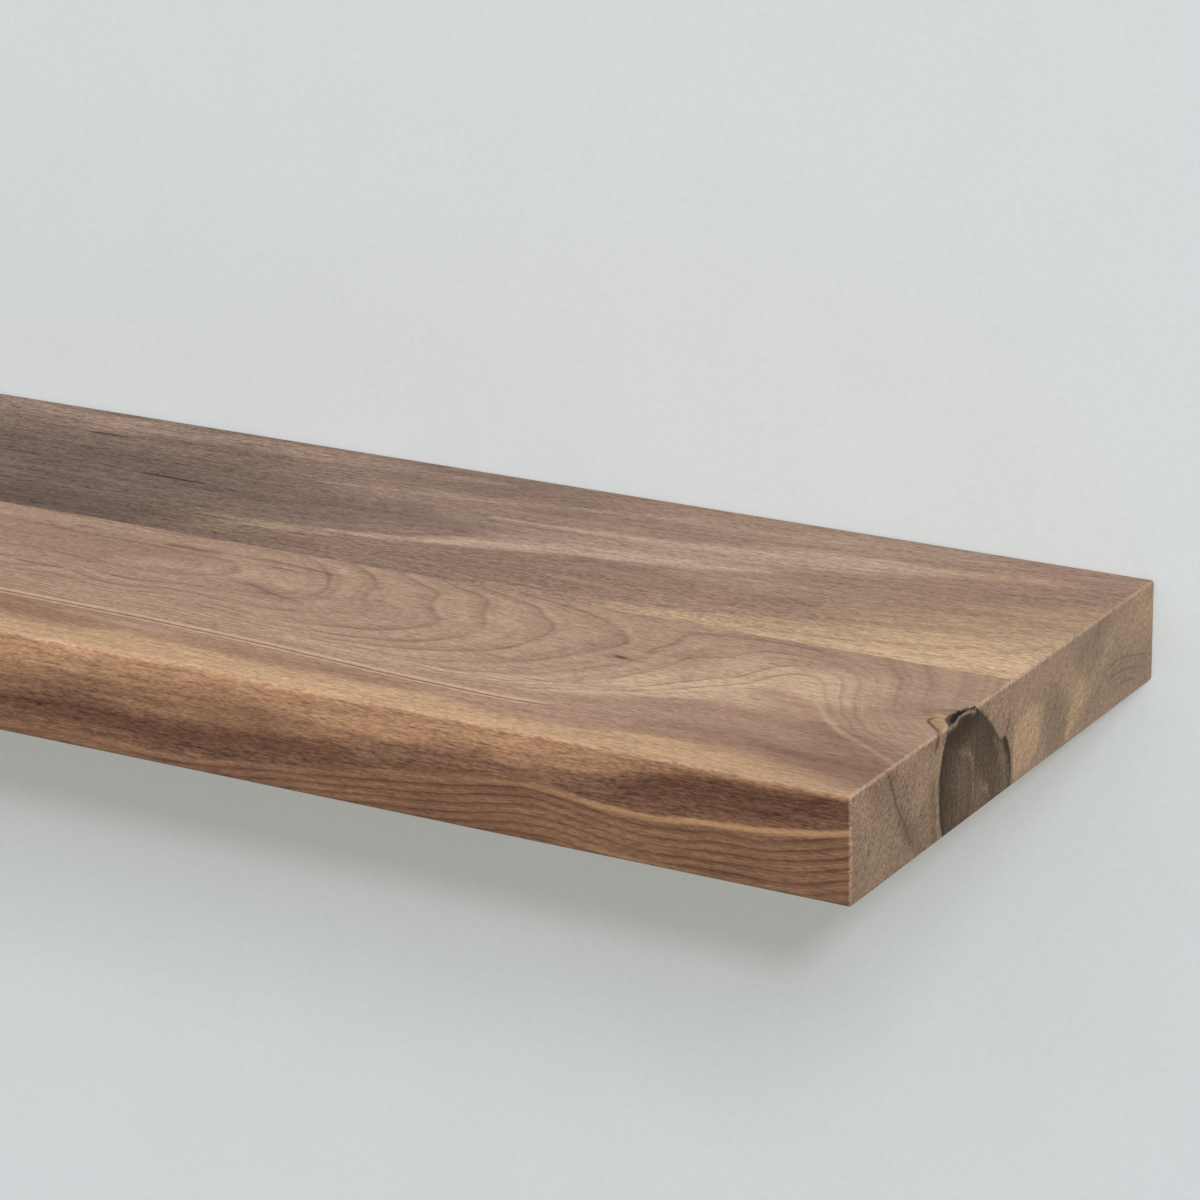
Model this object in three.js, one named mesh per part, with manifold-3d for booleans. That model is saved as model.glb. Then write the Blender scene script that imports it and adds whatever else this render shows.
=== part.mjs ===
// A floating wall shelf: a board glued up from two staves, carried by a concealed steel rod bracket.
//
// Millimetres, +Z up, +X to the right along the wall, and the room on the -Y side of it. The origin is on
// the back of the wall plate, in the plane of the wall, halfway along the board and halfway up it.

import * as THREE from "three";
import { RoundedBoxGeometry } from "three/addons/geometries/RoundedBoxGeometry.js";
import { mergeVertices } from "three/addons/utils/BufferGeometryUtils.js";
import Module from "manifold-3d";

const wasm = await Module();
wasm.setup();

// The board
const boardLength = 900;
const boardThickness = 40;
const rearStaveWidth = 124;
const frontStaveWidth = 126;
const arris = 1.2;

// The groove in the back of the board: the wood left at its ends and over it, and the room that it leaves
// around the wall plate, which fills it
const grooveEndWood = 39.5;
const grooveCoverWood = 4.5;
const grooveGap = 0.5;
const plateThickness = 5;
const plateCorner = 4;

// The support rods, and the room that their bores leave around them
const rodDiameter = 12;
const rodLength = 150;
const rodChamfer = 1.5;
const rodCount = 4;
const rodEndMargin = 110;
const spigotShoulder = 2;
const spigotGap = 0.3;
const weldLeg = 2.5;
const rodGap = 0.3;
const boreEndRoom = 10;
const drillPointShare = 0.6;

// The wall screws
const screwDiameter = 5;
const screwLength = 50;
const screwPoint = 5;
const screwHeadOverhang = 2.5;
const screwHeadRim = 0.5;
const screwHeadSink = 0.3;
const screwGap = 0.3;
const crossWidth = 4.6;
const crossSlot = 1.1;
const crossDepth = 2.2;
const innerScrewShare = 0.225;
const outerScrewMargin = 30;

// The wall plugs
const plugWall = 1.2;
const plugLength = 40;
const plugSetback = 2.5;
const plugCollar = 9;
const plugNose = 4;
const plugSlit = 1;
const barbDepth = 0.5;
const barbCount = 5;

// The lock screws and their inserts, under the outer rods
const lockPlace = 60;
const insertWall = 1.45;
const insertSetback = 0.5;
const insertRodRoom = 1.5;
const insertGap = 0.3;
const lockDiameter = 6;
const lockRecess = 3.7;
const lockPoint = 1.5;
const lockGap = 0.3;
const socketAcross = 3;
const socketDepth = 4;

// How finely round shapes are cut, and how far cutting shapes run past what they cut
const arrisSteps = 2;
const rodSides = 32;
const fastenerSides = 16;
const cornerSteps = 6;
const overrun = 2;

// Sizes that follow from those above
const boardDepth = rearStaveWidth + frontStaveWidth;
const top = boardThickness / 2;
const plateLength = boardLength - (grooveEndWood + grooveGap) * 2;
const plateHeight = boardThickness - (grooveCoverWood + grooveGap) * 2;
const rodRadius = rodDiameter / 2;
const boreRadius = rodRadius + rodGap;
const spigotRadius = rodRadius - spigotShoulder;
const screwRadius = screwDiameter / 2;
const screwBore = screwRadius + screwGap;
const screwHeadRadius = screwRadius + screwHeadOverhang;
const plugRadius = screwBore + plugWall;
const lockRadius = lockDiameter / 2;
const lockBore = lockRadius + lockGap;
const lockLength = top - rodRadius - lockGap - lockRecess;
const insertRadius = lockBore + insertWall;
const insertLength = top - rodRadius - insertRodRoom - insertSetback;

// The rods are spread evenly along the plate. The screws stand between them and near the plate's ends.
const rodPitch = (plateLength - rodEndMargin * 2) / (rodCount - 1);
const rodPlaces = Array.from({ length: rodCount }, (_, i) => (i - (rodCount - 1) / 2) * rodPitch);
const screwSpread = [
  rodPitch * innerScrewShare,
  rodPlaces[rodCount - 1] - rodPitch / 2,
  plateLength / 2 - outerScrewMargin,
];
const screwPlaces = [...screwSpread.map((place) => -place).reverse(), ...screwSpread];
const lockPlaces = [rodPlaces[0], rodPlaces[rodCount - 1]];

const walnut = new THREE.MeshStandardMaterial({ color: 0x8a6448, roughness: 0.5, metalness: 0 });
const steel = new THREE.MeshStandardMaterial({ color: 0x2b2c2e, roughness: 0.55, metalness: 0.3 });
const zinc = new THREE.MeshStandardMaterial({ color: 0xb9bcc0, roughness: 0.35, metalness: 1 });
const nylon = new THREE.MeshStandardMaterial({ color: 0x9a9d9f, roughness: 0.6, metalness: 0 });
const brass = new THREE.MeshStandardMaterial({ color: 0xc19a4b, roughness: 0.35, metalness: 1 });

// A closed geometry as a solid that can be cut and joined.
function solidOf(geometry) {
  const bare = geometry.clone();
  bare.deleteAttribute("normal");
  bare.deleteAttribute("uv");
  const merged = mergeVertices(bare);
  return new wasm.Manifold(
    new wasm.Mesh({
      numProp: 3,
      vertProperties: merged.attributes.position.array,
      triVerts: Uint32Array.from(merged.index.array),
    }),
  );
}

function geometryOf(solid) {
  const mesh = solid.getMesh();
  const geometry = new THREE.BufferGeometry();
  geometry.setAttribute("position", new THREE.BufferAttribute(mesh.vertProperties, 3));
  geometry.setIndex(new THREE.BufferAttribute(mesh.triVerts, 1));
  geometry.computeVertexNormals();
  return geometry;
}

// The first geometry less all the others.
function cutAway(geometry, cutters) {
  const cut = cutters.reduce((left, cutter) => left.subtract(solidOf(cutter)), solidOf(geometry));
  return geometryOf(cut);
}

// A shape turned about the Y axis, from its [radius, place along Y] points in order of growing Y.
function turned(profile, sides) {
  return new THREE.LatheGeometry(
    profile.map(([radius, place]) => new THREE.Vector2(radius, place)),
    sides,
  );
}

function box(from, to) {
  const size = to.map((end, axis) => end - from[axis]);
  const middle = to.map((end, axis) => (end + from[axis]) / 2);
  return new THREE.BoxGeometry(...size).translate(...middle);
}

// A flat bar with round corners, its back in the plane of the wall and its thickness towards the room.
function flatBar(length, height, thickness, corner) {
  const [right, up] = [length / 2 - corner, height / 2 - corner];
  const outline = new THREE.Shape();
  outline.absarc(right, up, corner, 0, Math.PI / 2);
  outline.absarc(-right, up, corner, Math.PI / 2, Math.PI);
  outline.absarc(-right, -up, corner, Math.PI, Math.PI * 1.5);
  outline.absarc(right, -up, corner, Math.PI * 1.5, Math.PI * 2);
  const bar = new THREE.ExtrudeGeometry(outline, {
    depth: thickness,
    bevelEnabled: false,
    curveSegments: cornerSteps,
  });
  return bar.rotateX(Math.PI / 2);
}

// A rod: its tip out in the board, a weld fillet at its shoulder, and a spigot through the plate.
function supportRod() {
  const tip = -plateThickness - rodLength;
  return turned(
    [
      [0, tip],
      [rodRadius - rodChamfer, tip],
      [rodRadius, tip + rodChamfer],
      [rodRadius, -plateThickness - weldLeg],
      [rodRadius + weldLeg, -plateThickness],
      [spigotRadius, -plateThickness],
      [spigotRadius, 0],
      [0, 0],
    ],
    rodSides,
  );
}

// What is bored out of the board for a rod: a drilled hole with room at its end and a mouth for the weld.
function rodBore(place) {
  const bottom = -plateThickness - rodLength - boreEndRoom;
  return turned(
    [
      [0, bottom - boreRadius * drillPointShare],
      [boreRadius, bottom],
      [boreRadius, -plateThickness - weldLeg],
      [boreRadius + weldLeg, -plateThickness],
      [0, -plateThickness],
    ],
    rodSides,
  ).translate(place, 0, 0);
}

// What a countersunk screw fills, grown by a gap all round and lengthened at both ends.
function screwHole(place) {
  const headFace = -plateThickness - overrun;
  const rimEnd = -plateThickness + screwHeadSink + screwHeadRim;
  const headRadius = screwHeadRadius + screwGap;
  return turned(
    [
      [0, headFace],
      [headRadius, headFace],
      [headRadius, rimEnd],
      [screwBore, rimEnd + headRadius - screwBore],
      [screwBore, overrun],
      [0, overrun],
    ],
    fastenerSides,
  ).translate(place, 0, 0);
}

function spigotHole(place) {
  const radius = spigotRadius + spigotGap;
  const length = plateThickness + overrun * 2;
  return new THREE.CylinderGeometry(radius, radius, length, fastenerSides).translate(
    place,
    -plateThickness / 2,
    0,
  );
}

function wallPlate() {
  const bar = flatBar(plateLength, plateHeight, plateThickness, plateCorner);
  return cutAway(bar, [...rodPlaces.map(spigotHole), ...screwPlaces.map(screwHole)]);
}

// The screw's head lies just under the face of the plate, and its point runs out past the plug.
function wallScrew() {
  const headFace = -plateThickness + screwHeadSink;
  const rimEnd = headFace + screwHeadRim;
  const tip = headFace + screwLength;
  const blank = turned(
    [
      [0, headFace],
      [screwHeadRadius, headFace],
      [screwHeadRadius, rimEnd],
      [screwRadius, rimEnd + screwHeadOverhang],
      [screwRadius, tip - screwPoint],
      [0, tip],
    ],
    fastenerSides,
  );
  const [low, high] = [headFace - overrun, headFace + crossDepth];
  const arm = [crossWidth / 2, crossSlot / 2];
  const acrossX = box([-arm[0], low, -arm[1]], [arm[0], high, arm[1]]);
  const acrossZ = box([-arm[1], low, -arm[0]], [arm[1], high, arm[0]]);
  return cutAway(blank, [acrossX, acrossZ]);
}

// A plug: a collar, a barbed sleeve that two slits let spread, and a nose that holds its legs together.
function wallPlug() {
  const start = plugSetback;
  const end = start + plugLength;
  const barbsFrom = start + plugCollar;
  const barbPitch = (plugLength - plugCollar - plugNose) / barbCount;
  const profile = [
    [screwBore, start],
    [plugRadius, start],
    [plugRadius, barbsFrom],
  ];
  for (let i = 0; i < barbCount; i++) {
    profile.push([plugRadius - barbDepth, barbsFrom + i * barbPitch]);
    profile.push([plugRadius, barbsFrom + (i + 1) * barbPitch]);
  }
  profile.push([plugRadius - barbDepth, end], [screwBore, end], [screwBore, start]);
  const sleeve = turned(profile, fastenerSides);
  const slitEnd = end - plugNose;
  const reach = plugRadius + overrun;
  const upright = box([-plugSlit / 2, barbsFrom, -reach], [plugSlit / 2, slitEnd, reach]);
  const level = box([-reach, barbsFrom, -plugSlit / 2], [reach, slitEnd, plugSlit / 2]);
  return cutAway(sleeve, [upright, level]);
}

// A threaded insert, built upright along Y from the end that shows.
function lockInsert() {
  return turned(
    [
      [lockBore, 0],
      [insertRadius, 0],
      [insertRadius, insertLength],
      [lockBore, insertLength],
      [lockBore, 0],
    ],
    fastenerSides,
  );
}

// A set screw, built upright along Y from its socket end, its point wound up against the rod.
function lockScrew() {
  const blank = turned(
    [
      [0, 0],
      [lockRadius, 0],
      [lockRadius, lockLength - lockPoint],
      [lockRadius - lockPoint, lockLength],
      [0, lockLength],
    ],
    fastenerSides,
  );
  const hexagonRadius = socketAcross / Math.sqrt(3);
  const socketHeight = socketDepth + overrun;
  const socket = new THREE.CylinderGeometry(hexagonRadius, hexagonRadius, socketHeight, 6);
  return cutAway(blank, [socket.translate(0, socketDepth - socketHeight / 2, 0)]);
}

function lockHole(place) {
  const radius = insertRadius + insertGap;
  const height = top + overrun;
  return new THREE.CylinderGeometry(radius, radius, height, fastenerSides)
    .rotateX(Math.PI / 2)
    .translate(place, -lockPlace, -height / 2);
}

// The board is glued up, trued and eased as one blank, so its two staves are the two parts of that blank.
function staves() {
  const blank = new RoundedBoxGeometry(boardLength, boardDepth, boardThickness, arrisSteps, arris);
  const whole = solidOf(blank.translate(0, -boardDepth / 2, 0));
  const reach = boardLength / 2 + overrun;
  const height = top + overrun;
  const rearSpace = box([-reach, -rearStaveWidth, -height], [reach, overrun, height]);
  const groove = flatBar(
    plateLength + grooveGap * 2,
    plateHeight + grooveGap * 2,
    plateThickness + grooveGap + overrun,
    plateCorner + grooveGap,
  ).translate(0, overrun, 0);
  const cutters = [groove, ...rodPlaces.map(rodBore), ...lockPlaces.map(lockHole)];
  const milled = cutters.reduce((left, cutter) => left.subtract(solidOf(cutter)), whole);
  return {
    rear: geometryOf(milled.intersect(solidOf(rearSpace))),
    front: geometryOf(milled.subtract(solidOf(rearSpace))),
  };
}

const shelf = new THREE.Group();

function add(name, geometry, material, x = 0, y = 0, z = 0) {
  const mesh = new THREE.Mesh(geometry, material);
  mesh.name = name;
  mesh.position.set(x, y, z);
  shelf.add(mesh);
  return mesh;
}

const board = staves();
add("front_stave", board.front, walnut);
add("rear_stave", board.rear, walnut);

add("wall_plate", wallPlate(), steel);
rodPlaces.forEach((place, i) => add(`support_rod_${i + 1}`, supportRod(), steel, place));
screwPlaces.forEach((place, i) => {
  add(`wall_screw_${i + 1}`, wallScrew(), zinc, place);
  add(`wall_plug_${i + 1}`, wallPlug(), nylon, place);
});

// The inserts and set screws stand upright in the underside of the board.
const insertFoot = -top + insertSetback;
const lockFoot = -rodRadius - lockGap - lockLength;
lockPlaces.forEach((place, i) => {
  const side = ["left", "right"][i];
  const insert = add(`lock_insert_${side}`, lockInsert(), brass, place, -lockPlace, insertFoot);
  const screw = add(`lock_screw_${side}`, lockScrew(), zinc, place, -lockPlace, lockFoot);
  insert.rotation.x = Math.PI / 2;
  screw.rotation.x = Math.PI / 2;
});

export default shelf;
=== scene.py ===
"""A solid walnut floating shelf, glued up from two staves, on the steel rod bracket hidden inside it.

The frame has +X to the right along the wall, +Y into the wall and +Z up, with the origin on the back of the
wall plate. Blender's lengths are metres. The wood's figure is drawn in millimetres in the same frame.
"""

import math

import bpy
import numpy as np
from mathutils import Matrix, Vector


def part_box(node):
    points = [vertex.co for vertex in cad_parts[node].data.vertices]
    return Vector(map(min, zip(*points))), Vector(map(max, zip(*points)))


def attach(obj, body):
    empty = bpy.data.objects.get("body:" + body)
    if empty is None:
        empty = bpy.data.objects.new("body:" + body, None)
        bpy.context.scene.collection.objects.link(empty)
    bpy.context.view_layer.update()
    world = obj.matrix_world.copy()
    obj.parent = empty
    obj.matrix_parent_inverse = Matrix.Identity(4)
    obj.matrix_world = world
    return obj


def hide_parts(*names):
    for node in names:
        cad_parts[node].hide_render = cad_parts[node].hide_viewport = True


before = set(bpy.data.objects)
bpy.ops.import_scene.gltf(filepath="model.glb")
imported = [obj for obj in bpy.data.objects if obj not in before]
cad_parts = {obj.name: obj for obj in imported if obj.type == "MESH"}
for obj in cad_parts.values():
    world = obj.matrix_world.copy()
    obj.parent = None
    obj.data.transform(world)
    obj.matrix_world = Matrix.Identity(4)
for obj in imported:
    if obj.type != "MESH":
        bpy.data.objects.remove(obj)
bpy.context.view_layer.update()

MM = 0.001

# The camera, fitted to the board's edges in the photograph, in millimetres and degrees
CAMERA_PLACE = (1061.9, -1442.7, 553.9)
CAMERA_AZIMUTH = 30.66
CAMERA_ELEVATION = 19.11
CAMERA_ROLL = -1.0
CAMERA_LENS = 130.65
SENSOR = 36

# The light: a pale room that is brightest overhead, and two lamps from the same side, one broad and one small
LIGHT_FROM = (155, -250, 152)
SOFT_LIGHT_FROM = (155, -250, 195)
OVERHEAD_LEVEL = 1.0
LEVEL_AROUND = 0.28
LEVEL_BELOW = 0.4
BACKGROUND_LEVEL = 0.68
SOFT_LAMP_LEVEL = 0.24
SHARP_LAMP_LEVEL = 0.2
SOFT_LAMP_ANGLE = 13
SHARP_LAMP_ANGLE = 3

# The stage
WALL_GAP = 0.5
PLATE_LAP = 3
WALL_SIZE = 6000
FLOOR_DROP = 1100
WALL_TONE = (207, 217, 227)
# The wall's glow is painted light: an even glow for the rays that show the wall, warm to stand in for the
# bounce from the wood
WALL_GLOW = (0.177, 0.165, 0.121)
FLOOR_TONE = (222, 222, 219)

# The board
ARRIS = 1.2
ARRIS_SHARES = (0, 0.25, 0.6, 1)
GROOVE_GAP = 0.5
GROOVE_CORNER = 4.5
BORE_RADIUS = 6.3
BORE_ROOM = 10
BORE_MOUTH = 2.5
BORE_SIDES = 48
CORNER_STEPS = 6
DRILL_POINT = 3.8
INSERT_GAP = 0.3
OVERRUN = 2
SHARP_TURN = 40

# The plate and the rods
ROD_RADIUS = 5.97
ROD_CHAMFER = 1.5
ROD_SIDES = 96
ROD_STEP = 12
ROD_END_ROOM = 0.3
WELD_LEG = 2.4
WELD_RIPPLE = 0.12
WELD_RIPPLES = 30
SPIGOT_RADIUS = 3.95
PLATE_SOFTENING = 0.4

# The wall screws
SCREW_HEAD_RADIUS = 4.9
SCREW_HEAD_RIM = 0.5
SCREW_BEVEL = 0.15
SCREW_SIDES = 32
SCREW_CORE = 1.8
SCREW_CREST = 2.42
SCREW_PITCH = 2.2
SCREW_NECK = 3
SCREW_POINT = 5
SCREW_POINT_CURVE = 0.8
THREAD_STEPS = 8
THREAD_STEEPNESS = 1.5
CROSS_ARM = 2.3
CROSS_HALF_SLOT = 0.55
CROSS_DEPTH = 2.2

# The wall plugs
PLUG_BORE = 2.8
PLUG_RADIUS = 3.96
PLUG_COLLAR = 9
PLUG_NOSE = 4
PLUG_BEVEL = 0.25
PLUG_MOUTH = 0.3
SLEEVE_SIDES = 48
PLUG_HALF_SLIT = 0.5
PLUG_TIP = 0.8
PLUG_TIP_TAPER = 0.35
BARB_DEPTH = 0.5
BARB_BACK = 0.1
BARB_FLAT = 0.2
BARB_COUNT = 5

# The threaded inserts and the set screws in them
INSERT_RADIUS = 4.7
INSERT_BORE = 3.14
INSERT_BEVEL = 0.3
INSERT_PITCH = 2
INSERT_DEPTH = 0.45
INSERT_INNER_DEPTH = 0.18
INSERT_THREAD_STEPS = 6
LOCK_RADIUS = 2.96
LOCK_PITCH = 1
LOCK_DEPTH = 0.45
LOCK_BEVEL = 0.4
LOCK_POINT = 1.5
CUP_RIM = (0.1, 0.3)
CUP_DEPTH = 0.5
SOCKET_RADIUS = 1.73
SOCKET_DEPTH = 4
SOCKET_POINT = 0.5
SOCKET_SIDES = 6

# How far apart the points of each stave's skin are: up to this place, this step
FRONT_STEPS_ALONG = ((-100, 9), (300, 3), (432, 2.2), (450, 0.6))
FRONT_STEPS_ACROSS = ((-186, 1.6), (-124, 0.9))
REAR_STEPS_ALONG = ((-100, 9), (450, 3))
REAR_STEPS_ACROSS = ((0, 1.8),)
STEPS_UP = ((12, 1.3), (20, 0.8))


def srgb(red, green, blue):
    """A colour as it looks on a screen, 0 to 255, as Blender's linear numbers."""
    shares = np.array((red, green, blue)) / 255
    return np.where(shares <= 0.04045, shares / 12.92, ((shares + 0.055) / 1.055) ** 2.4)


# How brightly the room and the lamps light each side of the board, and the pale sheen that it shows
SIDE_LIGHT = {
    "top": (0.935, (0.0255, 0.026, 0.0255)),
    "front": (0.767, (0.0102, 0.0102, 0.01)),
    "end": (0.636, (0.0242, 0.0253, 0.0252)),
}


def wood(side, red, green, blue):
    """The tone given to the wood, where this is how it looks on one side of the board under the lamps."""
    light, sheen = SIDE_LIGHT[side]
    return np.clip((srgb(red, green, blue) - np.array(sheen)) / light, 0.003, 1)


# The wood's tones, each as it looks on the side for which it was chosen. The front's tones stay darker and
# redder than the top's after the side's light is taken out: partly the wood's own tone, partly painted shade
# on the front.
LOOKS = {
    "top": {
        "heart": (171, 143, 122),
        "dusk": (152, 124, 109),
        "light": (186, 156, 134),
        "pale": (205, 176, 149),
        "umber": (166, 134, 113),
        "umber_dark": (148, 115, 94),
        "lens": (170, 139, 120),
        "plum": (126, 97, 82),
        "sap": (192, 158, 126),
        "gold": (203, 168, 134),
        "grey_corner": (160, 133, 114),
        "rear_left": (117, 99, 89),
        "rear_middle": (142, 119, 105),
        "rear_right": (159, 132, 114),
        "rear_dark": (105, 87, 78),
        "rear_brown": (150, 124, 105),
        "rear_pink": (160, 135, 121),
        "rear_pale": (187, 163, 142),
        "rear_sap": (190, 161, 131),
        "rear_gold": (209, 178, 144),
        "rear_plum": (150, 124, 108),
        "knot_gold": (188, 156, 116),
        "knot_olive": (118, 101, 84),
        # The rim beside the chip: a painted highlight on its lit edge
        "rim": (156, 138, 120),
        "bark": (84, 60, 52),
        "gum": (62, 52, 46),
    },
    # Darker than the top's tones: the wood's own tone with painted shade in it
    "front": {
        "side_sap": (164, 127, 99),
        "side_gold": (180, 141, 110),
        "side_umber": (113, 84, 68),
        "side_dark": (98, 70, 57),
        "side_heart": (132, 101, 81),
        "side_pale": (150, 116, 90),
        "side_line": (178, 138, 103),
    },
    "end": {
        "end_front": (136, 116, 98),
        "end_rear": (144, 124, 105),
        "end_beige": (166, 140, 114),
        "end_mauve": (128, 110, 96),
        "end_pink": (152, 128, 108),
        "end_plum": (124, 99, 86),
        "end_dark": (104, 87, 74),
        "end_red": (104, 76, 64),
        "knot": (84, 73, 62),
        "knot_dark": (62, 53, 46),
        "knot_brown": (106, 92, 79),
        "knot_red": (119, 98, 85),
        "knot_pale": (142, 124, 107),
    },
}
TONES = {name: wood(side, *look) for side, looks in LOOKS.items() for name, look in looks.items()}
# Near black: the knot's own dark rind, and the painted shade in the chip's hollow
TONES["black"] = srgb(30, 26, 23)

# Growth rings on each side of a stave: for each level, the places that the ring passes. On the front stave
# level 0 is where the heartwood begins, and the sapwood lies below level -3.
FRONT_RINGS = {
    "top": {
        -6: ((-440, -250), (-200, -250), (0, -250), (150, -250), (260, -250), (330, -250)),
        -5: ((400, -250),),
        -4.3: ((450, -250),),
        -3: ((-440, -234), (-200, -235), (0, -234), (110, -234), (200, -233), (250, -234), (300, -236),
             (330, -237), (360, -231), (400, -234), (430, -240), (450, -246)),
        -2: ((110, -224), (200, -226), (300, -230), (340, -228), (385, -214), (420, -226), (450, -236)),
        -1: ((-440, -210), (-200, -211), (0, -211), (70, -212), (130, -214), (190, -217), (250, -221.5),
             (300, -224), (330, -217), (385, -193), (420, -213), (450, -227)),
        0: ((0, -207.5), (70, -208), (130, -210), (200, -213), (250, -216), (280, -217), (300, -214),
            (312, -209), (325, -204), (340, -198), (352, -193), (358, -187), (370, -178), (380, -175),
            (386, -172), (390, -174), (398, -177), (402, -181), (407, -187), (412, -192), (420, -199),
            (430, -205), (440, -211), (450, -218)),
        1: ((345, -190), (362, -177), (370, -166), (374, -158), (381, -154), (389, -156), (394, -162),
            (399, -170), (406, -181), (415, -190), (432, -203), (450, -214)),
        2: ((300, -209), (315, -203), (330, -196), (340, -188), (348, -180), (355, -172), (363, -166),
            (366, -157), (370, -150), (377, -146), (388, -147), (396, -152), (400, -160), (404, -170),
            (411, -182), (421, -194), (440, -206), (450, -211)),
        3: ((200, -209), (265, -212), (285, -209), (300, -204), (315, -194), (323, -188), (328, -180),
            (333, -172), (335, -163), (337, -157), (342, -154), (348, -151), (352, -145), (357, -140),
            (365, -137), (378, -137), (390, -140), (398, -145), (404, -153), (408, -165), (414, -177),
            (422, -188), (434, -198), (450, -206)),
        4: ((200, -206.5), (240, -209), (265, -207), (280, -203), (295, -198), (303, -191), (310, -184),
            (318, -175), (321, -165), (321, -155), (325, -147), (324, -140), (328, -133), (335, -131),
            (350, -129), (365, -128), (380, -131), (390, -134), (400, -140), (408, -150), (413, -162),
            (419, -175), (428, -186), (440, -195), (450, -200)),
        4.5: ((288, -124), (345, -124), (380, -124)),
        5: ((200, -204), (235, -204), (255, -202), (268, -198), (280, -192), (288, -186), (295, -178),
            (300, -170), (305, -163), (309, -155), (305, -148), (297, -141), (285, -134), (265, -128),
            (250, -125), (402, -127), (415, -143), (421, -160), (428, -174), (450, -193)),
        6: ((200, -200.5), (225, -199), (245, -195), (258, -190), (268, -184), (275, -175), (278, -163),
            (277, -153), (272, -146), (265, -141), (258, -134), (245, -130), (228, -125), (416, -126),
            (427, -145), (434, -165)),
        7: ((0, -193), (100, -195), (180, -197), (205, -196), (225, -193), (240, -188), (248, -180),
            (253, -172), (254, -165), (250, -158), (245, -150), (240, -140), (233, -133), (222, -130),
            (210, -124), (432, -126)),
        8: ((-200, -189), (0, -188), (60, -190), (110, -191), (170, -192), (195, -190), (210, -187),
            (220, -184), (228, -179), (234, -172), (236, -165), (228, -158), (224, -152), (220, -145),
            (213, -135), (205, -132), (195, -126), (446, -128)),
        9: ((-440, -180), (-200, -178), (0, -179), (70, -180), (120, -183), (150, -183), (165, -183),
            (180, -181), (190, -178), (198, -175), (203, -170), (206, -165), (201, -161), (196, -155),
            (194, -148), (190, -138), (183, -132), (175, -127), (168, -123)),
        10: ((60, -174), (145, -175), (166, -173), (176, -166), (178, -155), (172, -143), (161, -132),
             (151, -126)),
        11: ((-440, -168), (-200, -166), (0, -166), (40, -166), (75, -168), (100, -169), (115, -166),
             (127, -162), (133, -158), (134, -151), (128, -144.5), (100, -143), (60, -141), (0, -139),
             (-200, -141), (-440, -144)),
        11.7: ((-200, -154), (0, -153), (90, -154)),
    },
    "front": {
        -6: ((-440, 20), (100, 20), (250, 20), (330, 20)),
        -3: ((-440, 2), (-200, 2), (0, 0), (100, 0), (150, 1), (200, 1), (230, 3), (250, 5), (270, 7),
             (300, 10), (320, 9.5), (340, 9), (360, 12), (380, 15), (400, 16.5), (430, 17), (450, 18)),
        0: ((-440, -12), (-200, -13), (0, -14), (100, -14), (170, -14.5), (200, -12.5), (220, -10),
            (250, -7), (270, -4.5), (300, -1), (322, 2), (335, 1.5), (345, 0), (355, -1), (370, -2),
            (380, -1), (390, 0), (410, 1), (420, 2.5), (430, 4.5), (440, 6.5), (450, 9)),
        2: ((-440, -20), (0, -20), (120, -20), (200, -18.5), (250, -13), (300, -7), (350, -6.4), (400, -6),
            (430, -3), (450, 2)),
        4: ((250, -19), (300, -14), (350, -12.8), (400, -13), (430, -11), (450, -6)),
        6: ((300, -20), (350, -19), (400, -20), (430, -19), (450, -14)),
    },
    "end": {
        0: ((-233, 14),),
        3: ((-230, 6),),
        6: ((-222, -2), (-205, 8)),
    },
    "under": {
        3: ((-440, -244), (-200, -242), (0, -243)),
        6: ((-300, -222), (-100, -215), (100, -225), (250, -238)),
        9: ((-200, -190), (0, -180), (150, -196), (300, -214), (420, -226)),
        12: ((-350, -160), (-100, -146), (100, -160), (300, -184), (430, -205)),
        15: ((-400, -128), (0, -126), (250, -150), (400, -178)),
        18: ((200, -124), (380, -145)),
    },
}
REAR_RINGS = {
    "top": {
        -5: ((-440, -124), (-100, -122), (60, -121), (180, -119)),
        -3.5: ((300, -118), (340, -113), (385, -104), (420, -93), (450, -82)),
        -2: ((300, -98), (340, -90), (385, -76), (420, -64), (450, -55)),
        0: ((-440, -110), (-200, -106), (0, -101), (80, -99), (130, -97), (168, -89), (195, -78),
            (235, -70), (285, -63), (330, -56), (380, -47), (420, -39), (450, -34)),
        4: ((-440, -62), (-200, -58), (0, -54), (120, -51), (215, -49), (280, -45), (320, -38), (360, -30),
            (400, -20), (450, -10)),
        7: ((-440, -44), (0, -42), (110, -39), (180, -31), (235, -21), (280, -10)),
        10: ((-440, -4), (-100, -8), (60, -8), (150, -3)),
    },
    "end": {
        6: ((-42, 1), (-30, 0), (-20, -3), (-10, -7), (-3, -9)),
        -3: ((-108, 7), (-98, -5), (-104, -17)),
        1: ((-78, 5), (-66, -6)),
    },
    "under": {
        -4: ((-440, -110), (-100, -106), (150, -112), (400, -98)),
        1: ((-440, -70), (-100, -76), (150, -78), (420, -60)),
        7: ((-440, -30), (-100, -38), (150, -36), (420, -24)),
    },
}

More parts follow.
